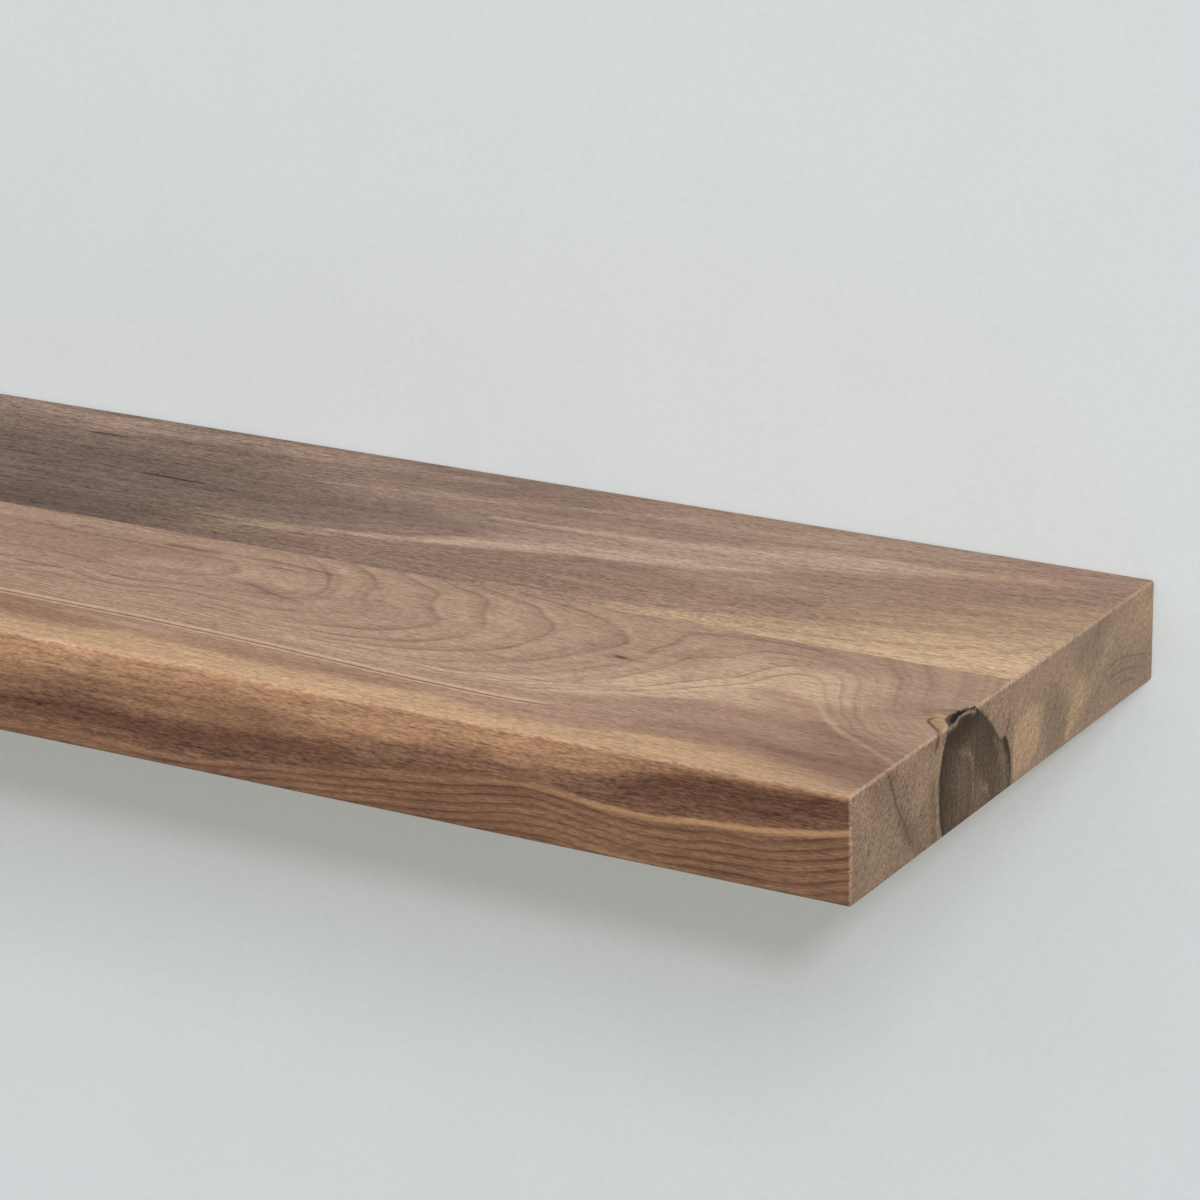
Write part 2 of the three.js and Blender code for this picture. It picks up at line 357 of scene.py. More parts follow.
# The pale line between the two kinds of wood, on the top in two lengths and on the front in one. Each place
# ends with how strongly the line shows there.
PIN_LINE = ((-450, -208, 0.7), (0, -210, 0.7), (70, -211, 0.8), (100, -211.5, 0.9), (130, -212, 0.9),
            (160, -213.5, 0.9), (190, -215, 0.9), (220, -217.5, 0.9), (250, -220, 0.9), (280, -221.5, 0.9),
            (300, -222, 0.9), (312, -221.5, 0.8), (317, -221, 0))
LENS_LINE = ((296, -216, 0), (304, -213, 0.4), (312, -209, 0.6), (325, -204, 0.7), (340, -198, 0.8),
             (351, -194.5, 0.7), (356, -190, 0.5), (360, -184, 0.4), (366, -179.5, 0.35), (375, -176, 0.3),
             (384, -173, 0.3), (392, -174, 0.3), (398, -177, 0.35), (402, -181, 0.45), (407, -187, 0.5),
             (412, -192, 0.5), (420, -199, 0.5), (430, -205, 0.4), (440, -211, 0.35), (450, -218, 0.3))
FACE_LINE = ((-450, -15, 0.2), (-200, -16, 0.2), (0, -16.5, 0.2), (100, -16.8, 0.2), (170, -16, 0.15),
             (200, -14, 0.12), (229, -10.2, 0.1), (258, -6.3, 0.1), (286, -2.4, 0.2), (308, 0.2, 0.35),
             (327, 1.1, 0.5), (340, 0.4, 0.65), (353, -1.4, 0.85), (366, -2.1, 1), (380, -1.5, 1),
             (393, 0.1, 1), (406, 0.9, 1), (418, 1.9, 1), (431, 3.5, 1), (441, 5.1, 1), (450, 6.9, 1))

# Those lines: the side, the course, which way from it the heartwood lies, and whether it is a pair
SEAM_LINES = (("top", PIN_LINE, 1, 1), ("top", LENS_LINE, 1, 0), ("front", FACE_LINE, -1, 0))

# The knot's outline on the right end, from its upper left corner down and round, across and up. It runs on
# past the wood at its head and foot.
KNOT_OUTLINE = ((-176.6, 20), (-178.2, 17), (-181.2, 11.8), (-184, 3.3), (-184, -6.3), (-183, -14),
                (-181, -20), (-178, -45), (-126, -45), (-125.8, -20), (-125.4, -14), (-126, -7.6),
                (-128, -2), (-130.8, 1.6), (-134.4, 1.2), (-138, 5), (-141.8, 9.6), (-147.8, 14.8),
                (-154.5, 19.8), (-158, 23), (-166, 25), (-173, 24))
KNOT_REACH = 43
KNOT_HALF_WIDTH = 27
KNOT_SHOULDER = (15, 2)
KNOT_HEAD_SLOPE = 0.95

# The crevice beside the knot in the top, along its course with half its width, and the rim outside it
CHIP_COURSE = ((448.9, -172, 0.5), (448.1, -169.8, 1), (447.2, -166.3, 1.15), (446.8, -163.1, 1.05),
               (446.9, -160.4, 1), (447.3, -157.9, 0.9), (448.1, -156, 0.75), (449, -154.4, 0.6),
               (450.2, -153, 0.4))
CHIP_DEPTH = 2.2
CHIP_FOOT = 14
RIM_MIDDLE = -163
RIM_SPREAD = 7
RIM_STRIP = (446.5, 449)
RIM_HEIGHT = (17.6, 18.6)
RIM_COURSE = ((450.4, -178), (450, -176), (450, -173.5), (449.7, -170.2), (449, -167.1), (448.6, -164.5),
              (448.9, -162.5), (449.2, -160.5), (449.6, -158.3), (450.1, -156.1), (450.7, -154))
RIM_HALF_WIDTH = 0.3
RIM_DROP = 0.5

# Where each side's two drawing directions lie among x, y and z, and which way the side faces
SIDES = {
    "top": ((0, 1), (0, 0, 1)),
    "front": ((0, 2), (0, -1, 0)),
    "end": ((1, 2), (1, 0, 0)),
    "under": ((0, 1), (0, 0, -1)),
    "back": ((0, 2), (0, 1, 0)),
    "far_end": ((1, 2), (-1, 0, 0)),
}

# Strokes of another tone on each side: the tone, half the width (one, or one for each place), the strength,
# how crisp the edge is, and the course
FRONT_STROKES = {
    "top": (
        ("dusk", (15, 15, 14, 6), 0.75, 2, ((-450, -155), (-200, -152), (78, -153), (98, -154))),
        ("light", 5, 0.6, 2, ((122, -154), (132, -152), (148, -154), (162, -157))),
        ("dusk", 4.5, 0.35, 2, ((194, -163), (216, -163))),
        ("light", 3, 0.4, 2, ((181, -169), (193, -171))),
        ("light", 3.4, 0.6, 2, ((138, -189), (170, -191))),
        ("light", 5, 0.6, 2, ((320, -168), (340, -173))),
        ("light", 4, 0.3, 2, ((412, -142), (428, -138))),
        ("light", (4, 7, 9, 9, 6), 0.9, 2, (
            (60, -197), (110, -201), (200, -204), (296, -206), (318, -192))),
        ("light", 8, 0.4, 2, ((250, -156), (262, -168))),
        ("dusk", (1, 3, 3, 2), 0.7, 2, ((140, -161), (151, -164.5), (162, -168), (178, -172))),
        ("light", 3, 0.5, 2, ((102, -159), (124, -159))),
        ("pale", (1.5, 2.5, 3.5, 3.5, 2), 0.55, 2, (
            (190, -206), (262, -211), (300, -207), (330, -199.5), (354, -190))),
        ("grey_corner", 12, 0.35, 3, ((408, -130), (455, -140))),
        ("pale", (4, 9, 10, 4), 0.75, 3, ((362, -170), (376, -160), (388, -159), (400, -172))),
        ("pale", (2, 7, 2), 1, 1.5, ((332, -192), (350, -184), (366, -173))),
        ("light", 3, 0.5, 2, ((276, -201), (304, -200))),
        ("light", 2, 0.5, 2, ((385, -146), (400, -150), (412, -168))),
        ("plum", (5, 8, 7), 0.4, 2, ((366, -219), (394, -219), (420, -222))),
        ("plum", (2, 7, 10), 0.65, 2, ((404, -222), (432, -226), (455, -231))),
        ("plum", (2, 5, 3), 0.25, 2, ((320, -212), (370, -198), (410, -204))),
        ("plum", (2, 5, 5), 0.5, 2, ((408, -194), (432, -208), (455, -221))),
        ("umber_dark", (7, 7, 4), 0.85, 2, ((-450, -226), (0, -225), (104, -226))),
        ("umber_dark", 4, 0.35, 2, ((84, -226), (250, -228))),
        ("umber_dark", 4.5, 0.35, 2, ((70, -233), (108, -232))),
        ("umber_dark", (4, 5, 3), 0.45, 2, ((68, -219), (92, -220), (110, -219))),
        ("plum", 3, 0.3, 2, ((356, -229), (384, -229))),
        ("light", 1.2, 0.6, 2, ((108, -221), (152, -222))),
        ("lens", 6, 0.8, 2, ((290, -226), (330, -226))),
        ("gold", (3, 1.6, 4, 2.6, 1.6), 0.65, 2, (
            (-450, -249), (110, -249.5), (200, -245), (300, -246.5), (340, -249))),
        ("lens", 3, 0.35, 2, ((402, -247), (440, -247))),
        ("dusk", 4, 0.25, 2, ((343, -153), (350, -164))),
        ("knot_gold", (0.9, 1.9, 1.7), 0.95, 3, ((443.4, -166.5), (444.8, -171.3), (447.9, -176.6))),
        ("knot_olive", 1.3, 0.6, 3, ((442.5, -162.4), (445.5, -161.5))),
        ("umber_dark", 1.1, 0.7, 2, ((437, -166.3), (438.7, -164.9), (440.2, -164.2))),
        ("dusk", 5, 0.4, 2, ((425, -158), (440, -172))),
        ("umber_dark", 1.8, 0.35, 2, ((302, -160), (308, -160))),
        ("umber_dark", 2, 0.6, 2, ((311, -167), (318, -168))),
        ("umber_dark", 1.6, 0.7, 2, ((96, -137.5), (116, -138.5))),
        ("umber_dark", 1.4, 0.5, 2, ((130, -137), (176, -139))),
    ),
    "front": (
        ("side_umber", (1.5, 2.5, 2.5, 1.6), 0.65, 2, ((86, 2), (150, 4), (200, 5.5), (258, 7))),
        ("side_gold", 2.5, 0.45, 2, ((80, 13), (115, 13))),
        ("side_pale", 2.8, 0.4, 2, ((234, -1), (266, 1))),
        ("side_pale", 3, 0.35, 2, ((236, -15.5), (262, -13.5))),
        ("side_pale", (2, 4, 5, 2), 0.45, 2, ((280, -9), (330, -11), (372, -9.5), (402, -9))),
        ("side_pale", 5, 0.3, 2, ((434, -8), (452, -7))),
        ("side_umber", (2, 3, 2), 0.35, 2, ((60, 5), (180, 9), (235, 9.5))),
        ("side_gold", 2.4, 0.7, 2, ((-450, 17.5), (100, 17), (130, 16))),
        ("side_gold", 1.2, 0.5, 2, ((60, 11), (150, 11))),
        ("side_gold", 1.5, 0.75, 2, ((120, 19), (230, 19), (320, 19))),
        ("side_gold", (4, 3), 0.4, 2, ((240, 12), (316, 15))),
        ("side_dark", 3.2, 0.8, 2, ((-200, -4), (120, -6), (205, -4), (240, -2))),
        ("side_dark", (2, 4.5, 5.5, 5, 4), 0.85, 3, (
            (366, 7), (385, 11), (405, 13), (425, 13.5), (452, 14.5))),
        ("side_heart", (2, 4, 2), 0.5, 2, ((275, 5), (315, 6), (348, 5))),
        ("side_sap", 1.8, 0.8, 2, ((316, 9.5), (321, 9.5))),
        ("side_pale", 1.2, 0.6, 2, ((330, -17), (390, -18.5), (430, -18))),
    ),
    "end": (
        ("end_plum", 3.5, 0.55, 2, ((-234, 20), (-229, 10))),
        ("end_plum", 2.5, 0.4, 2, ((-221, 19), (-218, 9))),
        ("end_pink", 3.5, 0.6, 2, ((-244, 16), (-239, 8))),
        ("end_pink", 6, 0.5, 2, ((-208, 13), (-196, 3))),
        ("end_dark", (1.5, 3, 2), 0.45, 2, ((-213, -2), (-208, -8), (-199, -17))),
        ("end_dark", (2, 5, 6), 0.4, 2, ((-212, 0), (-203, -9), (-193, -16))),
        ("end_dark", (3, 3, 2), 0.75, 2, ((-188, 2), (-187.5, -6), (-187, -18))),
        ("end_dark", 5, 0.3, 2, ((-222, 16), (-210, 8))),
        ("end_dark", 3, 0.3, 2, ((-214, -3), (-207, -12))),
        ("end_red", (1.6, 1.2, 0.6), 0.8, 2, ((-184, 20.5), (-185.5, 17), (-187, 13))),
        ("end_beige", (0.8, 1, 0.8, 0.6), 0.35, 3, (
            (-182.5, 15), (-185.6, 5), (-185.8, -4), (-184.6, -14))),
        ("end_pink", 4, 0.6, 2, ((-139, 17), (-129, 12))),
    ),
    "far_end": (
        ("end_pink", 9, 0.6, 2, ((-232, -10), (-200, 8))),
        ("end_mauve", 8, 0.6, 2, ((-180, -8), (-150, 10))),
        ("end_beige", 4, 0.6, 2, ((-244, -18), (-238, 14))),
    ),
}
REAR_STROKES = {
    "top": (
        ("rear_dark", (6, 12, 12, 3), 0.8, 3, ((-450, -116), (0, -114), (70, -112), (140, -114))),
        ("rear_dark", 9, 0.25, 2, ((-450, -60), (-20, -58), (60, -66))),
        ("rear_left", (10, 12, 6), 0.4, 2, ((110, -60), (160, -60), (200, -62))),
        ("rear_brown", (9, 14, 10), 0.75, 2, ((104, -110), (240, -98), (350, -82))),
        ("rear_pink", (6, 7, 6, 2), 0.8, 2, ((-450, -11), (-60, -11), (100, -12), (165, -12))),
        ("rear_left", 4, 0.3, 2, ((140, -22), (210, -17))),
        ("rear_pink", 6, 0.5, 2, ((130, -46), (230, -40))),
        ("rear_pink", 7, 0.5, 2, ((240, -22), (340, -12), (450, -8))),
        ("rear_brown", (10, 14, 8), 0.5, 2, ((330, -66), (400, -58), (450, -50))),
        ("rear_plum", 9, 0.7, 2, ((412, -32), (452, -24))),
        ("rear_pale", (1, 2.4, 4.4, 4.8, 5, 4.6, 1.2), 0.9, 3, (
            (150, -94), (182, -86), (205, -79.5), (232, -73.5), (262, -68.5), (288, -63.5), (316, -58))),
        ("rear_pale", (0.8, 2, 2.4), 0.4, 2, ((84, -98.5), (120, -97.5), (158, -92))),
        ("rear_pale", (0.5, 1, 0.8), 0.35, 2, ((92, -104), (118, -102), (140, -99))),
        ("rear_pale", (3, 7, 9, 4), 0.5, 2, ((205, -68), (235, -62), (270, -56), (306, -54))),
        ("rear_pale", (0.4, 2, 3.4, 7, 8, 7.4, 3), 0.85, 3, (
            (188, -51), (236, -48), (275, -46), (310, -42), (332, -37), (352, -32), (378, -27))),
        ("rear_pale", 7, 0.3, 2, ((322, -72), (362, -78))),
        ("rear_pale", 7, 0.25, 2, ((428, -72), (455, -68))),
        ("rear_left", 5, 0.3, 2, ((180, -107), (225, -103))),
        ("rear_pale", (0.8, 3, 2, 1.2, 0.8), 0.4, 3, (
            (104, -42), (140, -37), (180, -31), (220, -24), (285, -9))),
        ("rear_pink", 10, 0.25, 2, ((-110, -32), (20, -33), (110, -34))),
        ("rear_pink", 9, 0.4, 2, ((-450, -12), (-130, -13), (-30, -14))),
        ("rear_left", 4, 0.4, 2, ((136, -8), (178, -7))),
        ("rear_pale", 4, 0.3, 2, ((180, -56), (210, -57))),
        ("rear_pale", 3, 0.3, 2, ((284, -56), (308, -53))),
        ("rear_left", 6, 0.2, 2, ((236, -86), (268, -84))),
        ("rear_pale", 5, 0.4, 2, ((326, -15), (372, -11))),
        ("rear_sap", (4, 10, 18, 26), 0.85, 3, ((290, -124), (350, -117), (410, -108), (455, -92))),
        ("rear_gold", 8, 0.45, 2, ((436, -108), (455, -106))),
        ("rear_sap", 6, 0.4, 2, ((434, -88), (455, -84))),
        ("rear_sap", 6, 0.4, 2, ((425, -62), (455, -48))),
        ("rear_gold", (1, 4, 8), 0.7, 3, ((345, -124), (395, -121), (455, -116))),
        ("rear_sap", 4, 0.25, 2, ((240, -122), (300, -118))),
        ("rear_brown", 8, 0.45, 2, ((395, -80), (425, -66))),
        ("rear_sap", 4, 0.45, 2, ((386, -27), (410, -22))),
    ),
    "end": (
        ("end_beige", (5, 6.5, 5), 0.95, 6, ((-119, -2), (-110, -1), (-103, -1.5))),
        ("end_beige", (6, 6.5, 4), 0.9, 6, ((-120, -11), (-112, -10), (-104, -7))),
        ("end_beige", 5, 0.4, 2, ((-76, 3), (-68, -3))),
        ("end_beige", 5, 0.3, 2, ((-14, 12), (-4, 8))),
        ("end_beige", 5, 0.25, 2, ((-94, 6), (-88, -2))),
        ("end_dark", 5, 0.35, 2, ((-92, -1), (-84, -6), (-88, -14))),
        ("end_pink", 5, 0.6, 2, ((-118, 15), (-100, 14))),
        ("end_mauve", 8, 0.7, 3, ((-92, 0), (-86, -14))),
        ("end_pink", 5, 0.5, 2, ((-84, 15), (-78, 8))),
        ("end_beige", (3.5, 4, 4, 2), 0.85, 4, ((-66, -1), (-67, -4), (-72, -9), (-77, -16))),
        ("end_mauve", 7, 0.6, 2, ((-66, 15), (-54, 8))),
        ("end_dark", 3.5, 0.35, 2, ((-52, 16), (-45, 18))),
        ("end_beige", 3, 0.3, 3, ((-74, -17), (-58, -5), (-42, 5), (-34, 12))),
        ("end_mauve", 5, 0.4, 2, ((-62, -16), (-50, -8))),
        ("end_beige", 7, 0.4, 2, ((-22, 12), (-2, 8))),
        ("end_mauve", 5, 0.45, 2, ((-38, -8), (-8, -14))),
    ),
    "far_end": (
        ("end_pink", 9, 0.6, 2, ((-110, -8), (-84, 10))),
        ("end_mauve", 9, 0.6, 2, ((-62, 12), (-44, -12))),
        ("end_beige", 5, 0.6, 2, ((-30, 14), (-12, -8))),
    ),
}
KNOT_STROKES = {
    "end": (
        ("knot_dark", (3, 4, 4, 3), 0.75, 2, ((-178, 19), (-181, 8), (-183, -4), (-181, -20))),
        ("knot_dark", (5, 6, 4), 0.85, 2, ((-176, 16), (-166, 17), (-156, 17))),
        ("knot_dark", (3, 3, 2, 1.4), 0.35, 2, ((-150, 14), (-143, 5), (-138.5, -4), (-140, -16))),
        ("knot_dark", (3, 4), 0.5, 2, ((-174, 16), (-162, 16))),
        ("knot_brown", (3, 5, 4, 2), 0.6, 2, ((-162, 4), (-165, -1), (-164, -8), (-168, -16))),
        ("knot_brown", 4, 0.35, 2, ((-150, -10), (-148, -19))),
        ("knot_red", (2, 3.5), 0.4, 2, ((-158, -12), (-153, -20))),
        ("knot_brown", 3, 0.4, 2, ((-139, -9), (-136, -18))),
        ("knot_red", (2, 4, 5), 0.6, 2, ((-152, -9), (-151, -15), (-155, -20))),
        ("knot_brown", (1.5, 3, 3), 0.8, 2, ((-138, 2.5), (-132, -8), (-131, -18))),
        ("knot_dark", (1, 1.6, 1), 0.9, 3, ((-132.5, 1), (-130, -3), (-127, -9))),
        ("knot_dark", 1.2, 1, 2, ((-131.8, 2), (-130.6, 0), (-129.8, -2))),
        ("knot_pale", (0.4, 0.9, 0.8, 0.4), 0.45, 1.5, ((-160, 5), (-157, 1), (-157, -6), (-156, -13))),
        ("knot_pale", (0.5, 1.2, 0.5), 0.3, 2, ((-168, 8), (-163, 6), (-157, 4))),
        ("knot_pale", (0.4, 0.9, 0.4), 0.4, 1.5, ((-150, -11), (-146, -14), (-144, -18))),
    ),
}

# Thin dark marks on each side, such as gum streaks, bark and veins: how dark, half the width, and the course
FRONT_MARKS = {
    "top": (
        (0.5, 0.5, ((92, -138), (104, -138.6), (115, -138.4))),
        (0.4, 0.5, ((130, -136), (152, -137), (175, -139.5))),
        (0.45, 0.45, ((141, -142), (160, -142.4))),
        (0.4, 0.5, ((45, -135), (57, -135))),
        (0.45, 0.5, ((48, -180), (60, -180.6), (72, -180))),
        (0.4, 0.7, ((146, -161.5), (159, -167), (172, -171))),
        (0.9, 0.8, ((312, -167.6), (314.5, -168), (317, -168.1))),
        (0.7, 0.38, (
            (442.4, -169.2), (441.5, -171.2), (441, -174.3), (443, -176.8), (445.9, -179.6),
            (448.5, -182.1), (450.3, -184.8))),
    ),
    "end": (
        (0.55, 0.3, ((-223.4, 20), (-220.5, 13.8), (-215.3, 3), (-211.5, -2.5))),
        (0.35, 0.3, ((-211.5, -2.5), (-207.2, -9.7), (-202, -16))),
        (0.6, 0.35, ((-184.8, 20), (-185, 18.6), (-185.6, 16.6), (-186.8, 14.2))),
        (0.55, 0.3, ((-126.2, 7.2), (-127.5, 5.8), (-129.1, 3.5), (-131.1, 1.3))),
    ),
}
REAR_MARKS = {
    "top": (
        (1, 0.5, ((-29, -29.2), (-17, -28.4), (-5, -28.6))),
        (1, 0.6, ((25, -66.6), (41, -66.4), (51, -67.1), (63, -66.6))),
        (0.5, 0.4, ((-45, -66), (-30, -66))),
    ),
    "end": (
        (0.28, 0.3, ((-43, -2.4), (-33.7, -1.6), (-23.1, -3.1), (-12.3, -5.8), (-1.3, -9.3))),
        (0.25, 0.35, ((-41, -7), (-30, -6.6), (-18, -9), (-8, -12))),
        (0.25, 0.35, ((-38, -12), (-26, -12), (-14, -15))),
    ),
}
MARK_REACH = (1.7, 2.6)
MARK_TAPER = 0.8

# How much of a side a point must face for the strokes, the pale lines and the marks on it to count
STROKE_FACING = 0.05
SEAM_FACING = 0.5
MARK_FACING = 0.4

# The distances given where no line and no mark is near
FAR = 30.0
FAR_FROM_MARK = 9.0
NO_MARK_WIDTH = 0.4

# The strokes' edges: how much their ends are drawn out along the grain, their least width, the steps of a
# curve, and how they wander: the direction, the size, the length and width of the waves, and their seed
ALONG_GRAIN = 0.3
LEAST_WIDTH = 0.1
CURVE_PARTS = 4
EDGE_WAVES = ((1, 1.1, 46, 3.1, 5), (1, 0.8, 17, 1.7, 6), (2, 0.8, 46, 2.6, 7), (2, 0.6, 17, 1.5, 8))

# The field of the rings: the share at which lengths along each stave count, how loosely the field keeps to
# the drawn places, and how many points are worked out at a time
FRONT_STRETCH = 0.6
REAR_STRETCH = 0.4
FIELD_EASE = 50
FIELD_BATCH = 8000

# The levels where the sapwood gives way to the dark zone, and that to the heartwood
SAP_EDGE = (-3.7, -2.2)
HEART_EDGE = (-0.15, 0.15)

# Places along the front stave where the lens begins, and where rings and fibres grow faint towards the knot
LENS_START = (300, 345)
FAINT_RINGS = (372, 398)
FAINT_FIBRES = (360, 390)

# Places along the rear stave where its top and its side change tone
REAR_TOP_CHANGES = ((20, 170), (190, 330))
REAR_SIDE_CHANGES = ((-120, 190), (200, 420))
REAR_RING_SHOW = 0.3

# The strip at the glue line where the rear stave's fibres show more: across it, its start and its end
GLUE_STRIP = ((-88, -98), (20, 190), (380, 320))

# The wood's material: how strongly rings, pores, rind and the arrises' wear and painted highlight show
RING_SHADE = 0.28
RING_LINE = 0.64
THIN_RING_LINE = 0.25
PORE_STRENGTH = 0.5
KNOT_RIND = 0.28
ARRIS_LIGHT = 0.55
FLECK_SLANT = 48
SEED_SHIFT = 37.0

# The heat's tints on a rod beside its weld: from and to which place, how strong, and the tone
HEAT_TINTS = (
    (-24.0, -15.0, 0.55, (176, 148, 104)),
    (-15.0, -11.0, 0.6, (92, 92, 120)),
    (-9.6, -8.0, 0.85, (88, 84, 80)),
)


def smooth_line(places, parts=6):
    """More places on a smooth curve through the given ones. Numbers after the first two go along."""
    line = np.array(places, float)
    ends = [line[0] * 2 - line[1], *line, line[-1] * 2 - line[-2]]
    out = []
    for before, start, end, after in zip(ends, ends[1:], ends[2:], ends[3:]):
        for t in np.arange(parts) / parts:
            bend = (before * 2 - start * 5 + end * 4 - after) * t ** 2
            twist = (start * 3 - before - end * 3 + after) * t ** 3
            out.append(start + ((end - before) * t + bend + twist) / 2)
    return np.array([*out, line[-1]])


def nearest_on(line, places):
    """For each place its distance to a line, plus on the line's left, and the line's further number there."""
    nearest = np.full(len(places), 1e9)
    side = np.ones(len(places))
    extra = np.zeros(len(places))
    for start, end in zip(line, line[1:]):
        run = end[:2] - start[:2]
        off = places - start[:2]
        share = np.clip(off @ run / max(run @ run, 1e-9), 0, 1)
        gap = np.linalg.norm(off - share[:, None] * run, axis=1)
        closer = gap < nearest
        nearest = np.where(closer, gap, nearest)
        cross = run[0] * off[:, 1] - run[1] * off[:, 0]
        side = np.where(closer, np.where(cross < 0, -1, 1), side)
        if len(start) > 2:
            extra = np.where(closer, start[2] + (end[2] - start[2]) * share, extra)
    return nearest * side, extra


def inside(outline, places):
    """Whether each place lies inside a closed outline."""
    odd = np.zeros(len(places), bool)
    for (x0, y0), (x1, y1) in zip(outline, np.roll(outline, -1, axis=0)):
        spans = (places[:, 1] < y0) != (places[:, 1] < y1)
        rise = (y1 - y0) or 1
        odd ^= spans & (places[:, 0] < x0 + (places[:, 1] - y0) * (x1 - x0) / rise)
    return odd


def ring_places(rings, low, high):
    """The places of the rings on a block's sides, in space, and the level of each."""
    places, levels = [], []
    depth = {"top": high[2], "front": low[1], "end": high[0], "under": low[2]}
    for side, courses in rings.items():
        first, second = SIDES[side][0]
        for level, course in courses.items():
            for place in course:
                point = [depth[side]] * 3
                point[first], point[second] = place
                places.append(point)
                levels.append(level)
    return np.array(places, float), levels


def solid_field(rings, stretch, low, high):
    """A smooth field in the solid wood that takes each ring's level on that ring, and its slopes."""
    places, levels = ring_places(rings, low, high)
    scale = np.array((stretch, 1, 1))
    knots = places * scale
    count = len(knots)
    pull = np.linalg.norm(knots[:, None] - knots[None], axis=-1) ** 3 + FIELD_EASE * np.eye(count)
    plane = np.c_[np.ones(count), knots]
    system = np.block([[pull, plane], [plane.T, np.zeros((4, 4))]])
    weights = np.linalg.solve(system, np.r_[levels, np.zeros(4)])

    def field_at(points):
        levels_out, slopes_out = [], []
        for start in range(0, len(points), FIELD_BATCH):
            part = points[start:start + FIELD_BATCH] * scale
            reach = np.linalg.norm(part[:, None] - knots[None], axis=-1)
            levels_out.append(reach ** 3 @ weights[:count] + weights[count] + part @ weights[count + 1:])
            pulls = reach * weights[:count] * 3
            slope = pulls.sum(axis=1)[:, None] * part - pulls @ knots + weights[count + 1:]
            slopes_out.append(slope * scale)
        return np.concatenate(levels_out), np.concatenate(slopes_out)

    return field_at


def grain_noise(points, along, across, seed):
    """Smooth random numbers from -1 to 1, drawn out along the grain."""
    table = np.random.RandomState(seed).uniform(-1, 1, (32, 32, 32))
    cells = points / (along, across, across)
    base = np.floor(cells).astype(int)
    part = cells - base
    part = part * part * (3 - 2 * part)
    out = np.zeros(len(points))
    for corner in np.ndindex(2, 2, 2):
        weight = np.prod(np.where(corner, part, 1 - part), axis=1)
        out += weight * table[tuple(((base + corner) % 32).T)]
    return out


def fade(value, start, end):
    """0 at start, 1 at end, and smooth between."""
    share = np.clip((value - start) / (end - start), 0, 1)
    return share * share * (3 - 2 * share)


def blend_tones(share, first, second):
    return first + (second - first) * share[:, None]


def stations(low, high, steps, ease_low, ease_high):
    """Places from low to high with a step for each stretch, and closer ones on the eased ends."""
    places = [low]
    if ease_low:
        places = [low + ARRIS * share for share in ARRIS_SHARES]
    last = high - ARRIS if ease_high else high
    for stop, step in steps:
        stop = min(stop, last)
        if stop <= places[-1]:
            continue
        count = max(1, round((stop - places[-1]) / step))
        places += list(np.linspace(places[-1], stop, count + 1)[1:])
    if places[-1] < last:
        places.append(last)
    if ease_high:
        places += [high - ARRIS * share for share in ARRIS_SHARES[-2::-1]]
    return np.array(places)


def skin(xs, ys, zs):
    """The outside of a block cut into a lattice: its points, and its faces as four point numbers each."""
    shape = (len(xs), len(ys), len(zs))
    core = np.zeros(shape, bool)
    core[1:-1, 1:-1, 1:-1] = True
    number = np.full(shape, -1)
    number[~core] = np.arange(np.count_nonzero(~core))
    points = np.stack(np.meshgrid(xs, ys, zs, indexing="ij"), axis=-1)[~core]
    faces = []
    for axis in range(3):
        for side in (0, -1):
            sheet = number.take(side, axis=axis)
            corners = [sheet[:-1, :-1], sheet[1:, :-1], sheet[1:, 1:], sheet[:-1, 1:]]
            flip = (side == 0) != (axis == 1)
            faces.append(np.stack(corners[::-1] if flip else corners, axis=-1).reshape(-1, 4))
    return points, np.concatenate(faces)


def eased(points, low, high):
    """Rounds the arrises of a block whose corners are low and high."""
    inner = np.clip(points, low + ARRIS, high - ARRIS)
    off = points - inner
    reach = np.linalg.norm(off, axis=1)
    turn = np.count_nonzero(np.abs(off) > 1e-6, axis=1) > 1
    share = np.where(turn, ARRIS / np.maximum(reach, 1e-9), 1)
    return inner + off * share[:, None]


def mesh_object(name, points, faces, smooth=True):
    """A new object from points in metres and faces as lists of point numbers."""
    mesh = bpy.data.meshes.new(name)
    mesh.from_pydata([tuple(p) for p in points], [], [tuple(int(i) for i in f) for f in faces])
    if smooth:
        mesh.shade_smooth()
    obj = bpy.data.objects.new(name, mesh)
    bpy.context.scene.collection.objects.link(obj)
    return obj


def node_box(name):
    low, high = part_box(name)
    return np.array(low) / MM, np.array(high) / MM


def lathe(name, profile, sides, closed=False, ripple=None):
    """A shape turned about Y from [radius, place] points in millimetres. A closed profile makes a sleeve."""
    angles = np.arange(sides) * math.tau / sides
    points, faces, rows = [], [], []
    for radius, place in profile:
        if radius <= 0:
            rows.append([len(points)] * sides)
            points.append((0, place, 0))
            continue
        rows.append(list(range(len(points), len(points) + sides)))
        for angle in angles:
            grown = radius + (ripple(radius, place, angle) if ripple else 0)
            points.append((grown * math.cos(angle), place, -grown * math.sin(angle)))
    pairs = list(zip(rows, rows[1:]))
    if closed:
        pairs.append((rows[-1], rows[0]))
    for one, two in pairs:
        for i in range(sides):
            j = (i + 1) % sides
            face = [one[i], one[j], two[j], two[i]]
            faces.append(list(dict.fromkeys(face)))
    return mesh_object(name, np.array(points) * MM, faces)


def box_object(name, low, high):
    points, faces = skin(*[np.array((a, b)) for a, b in zip(low, high)])
    return mesh_object(name, points * MM, faces, smooth=False)


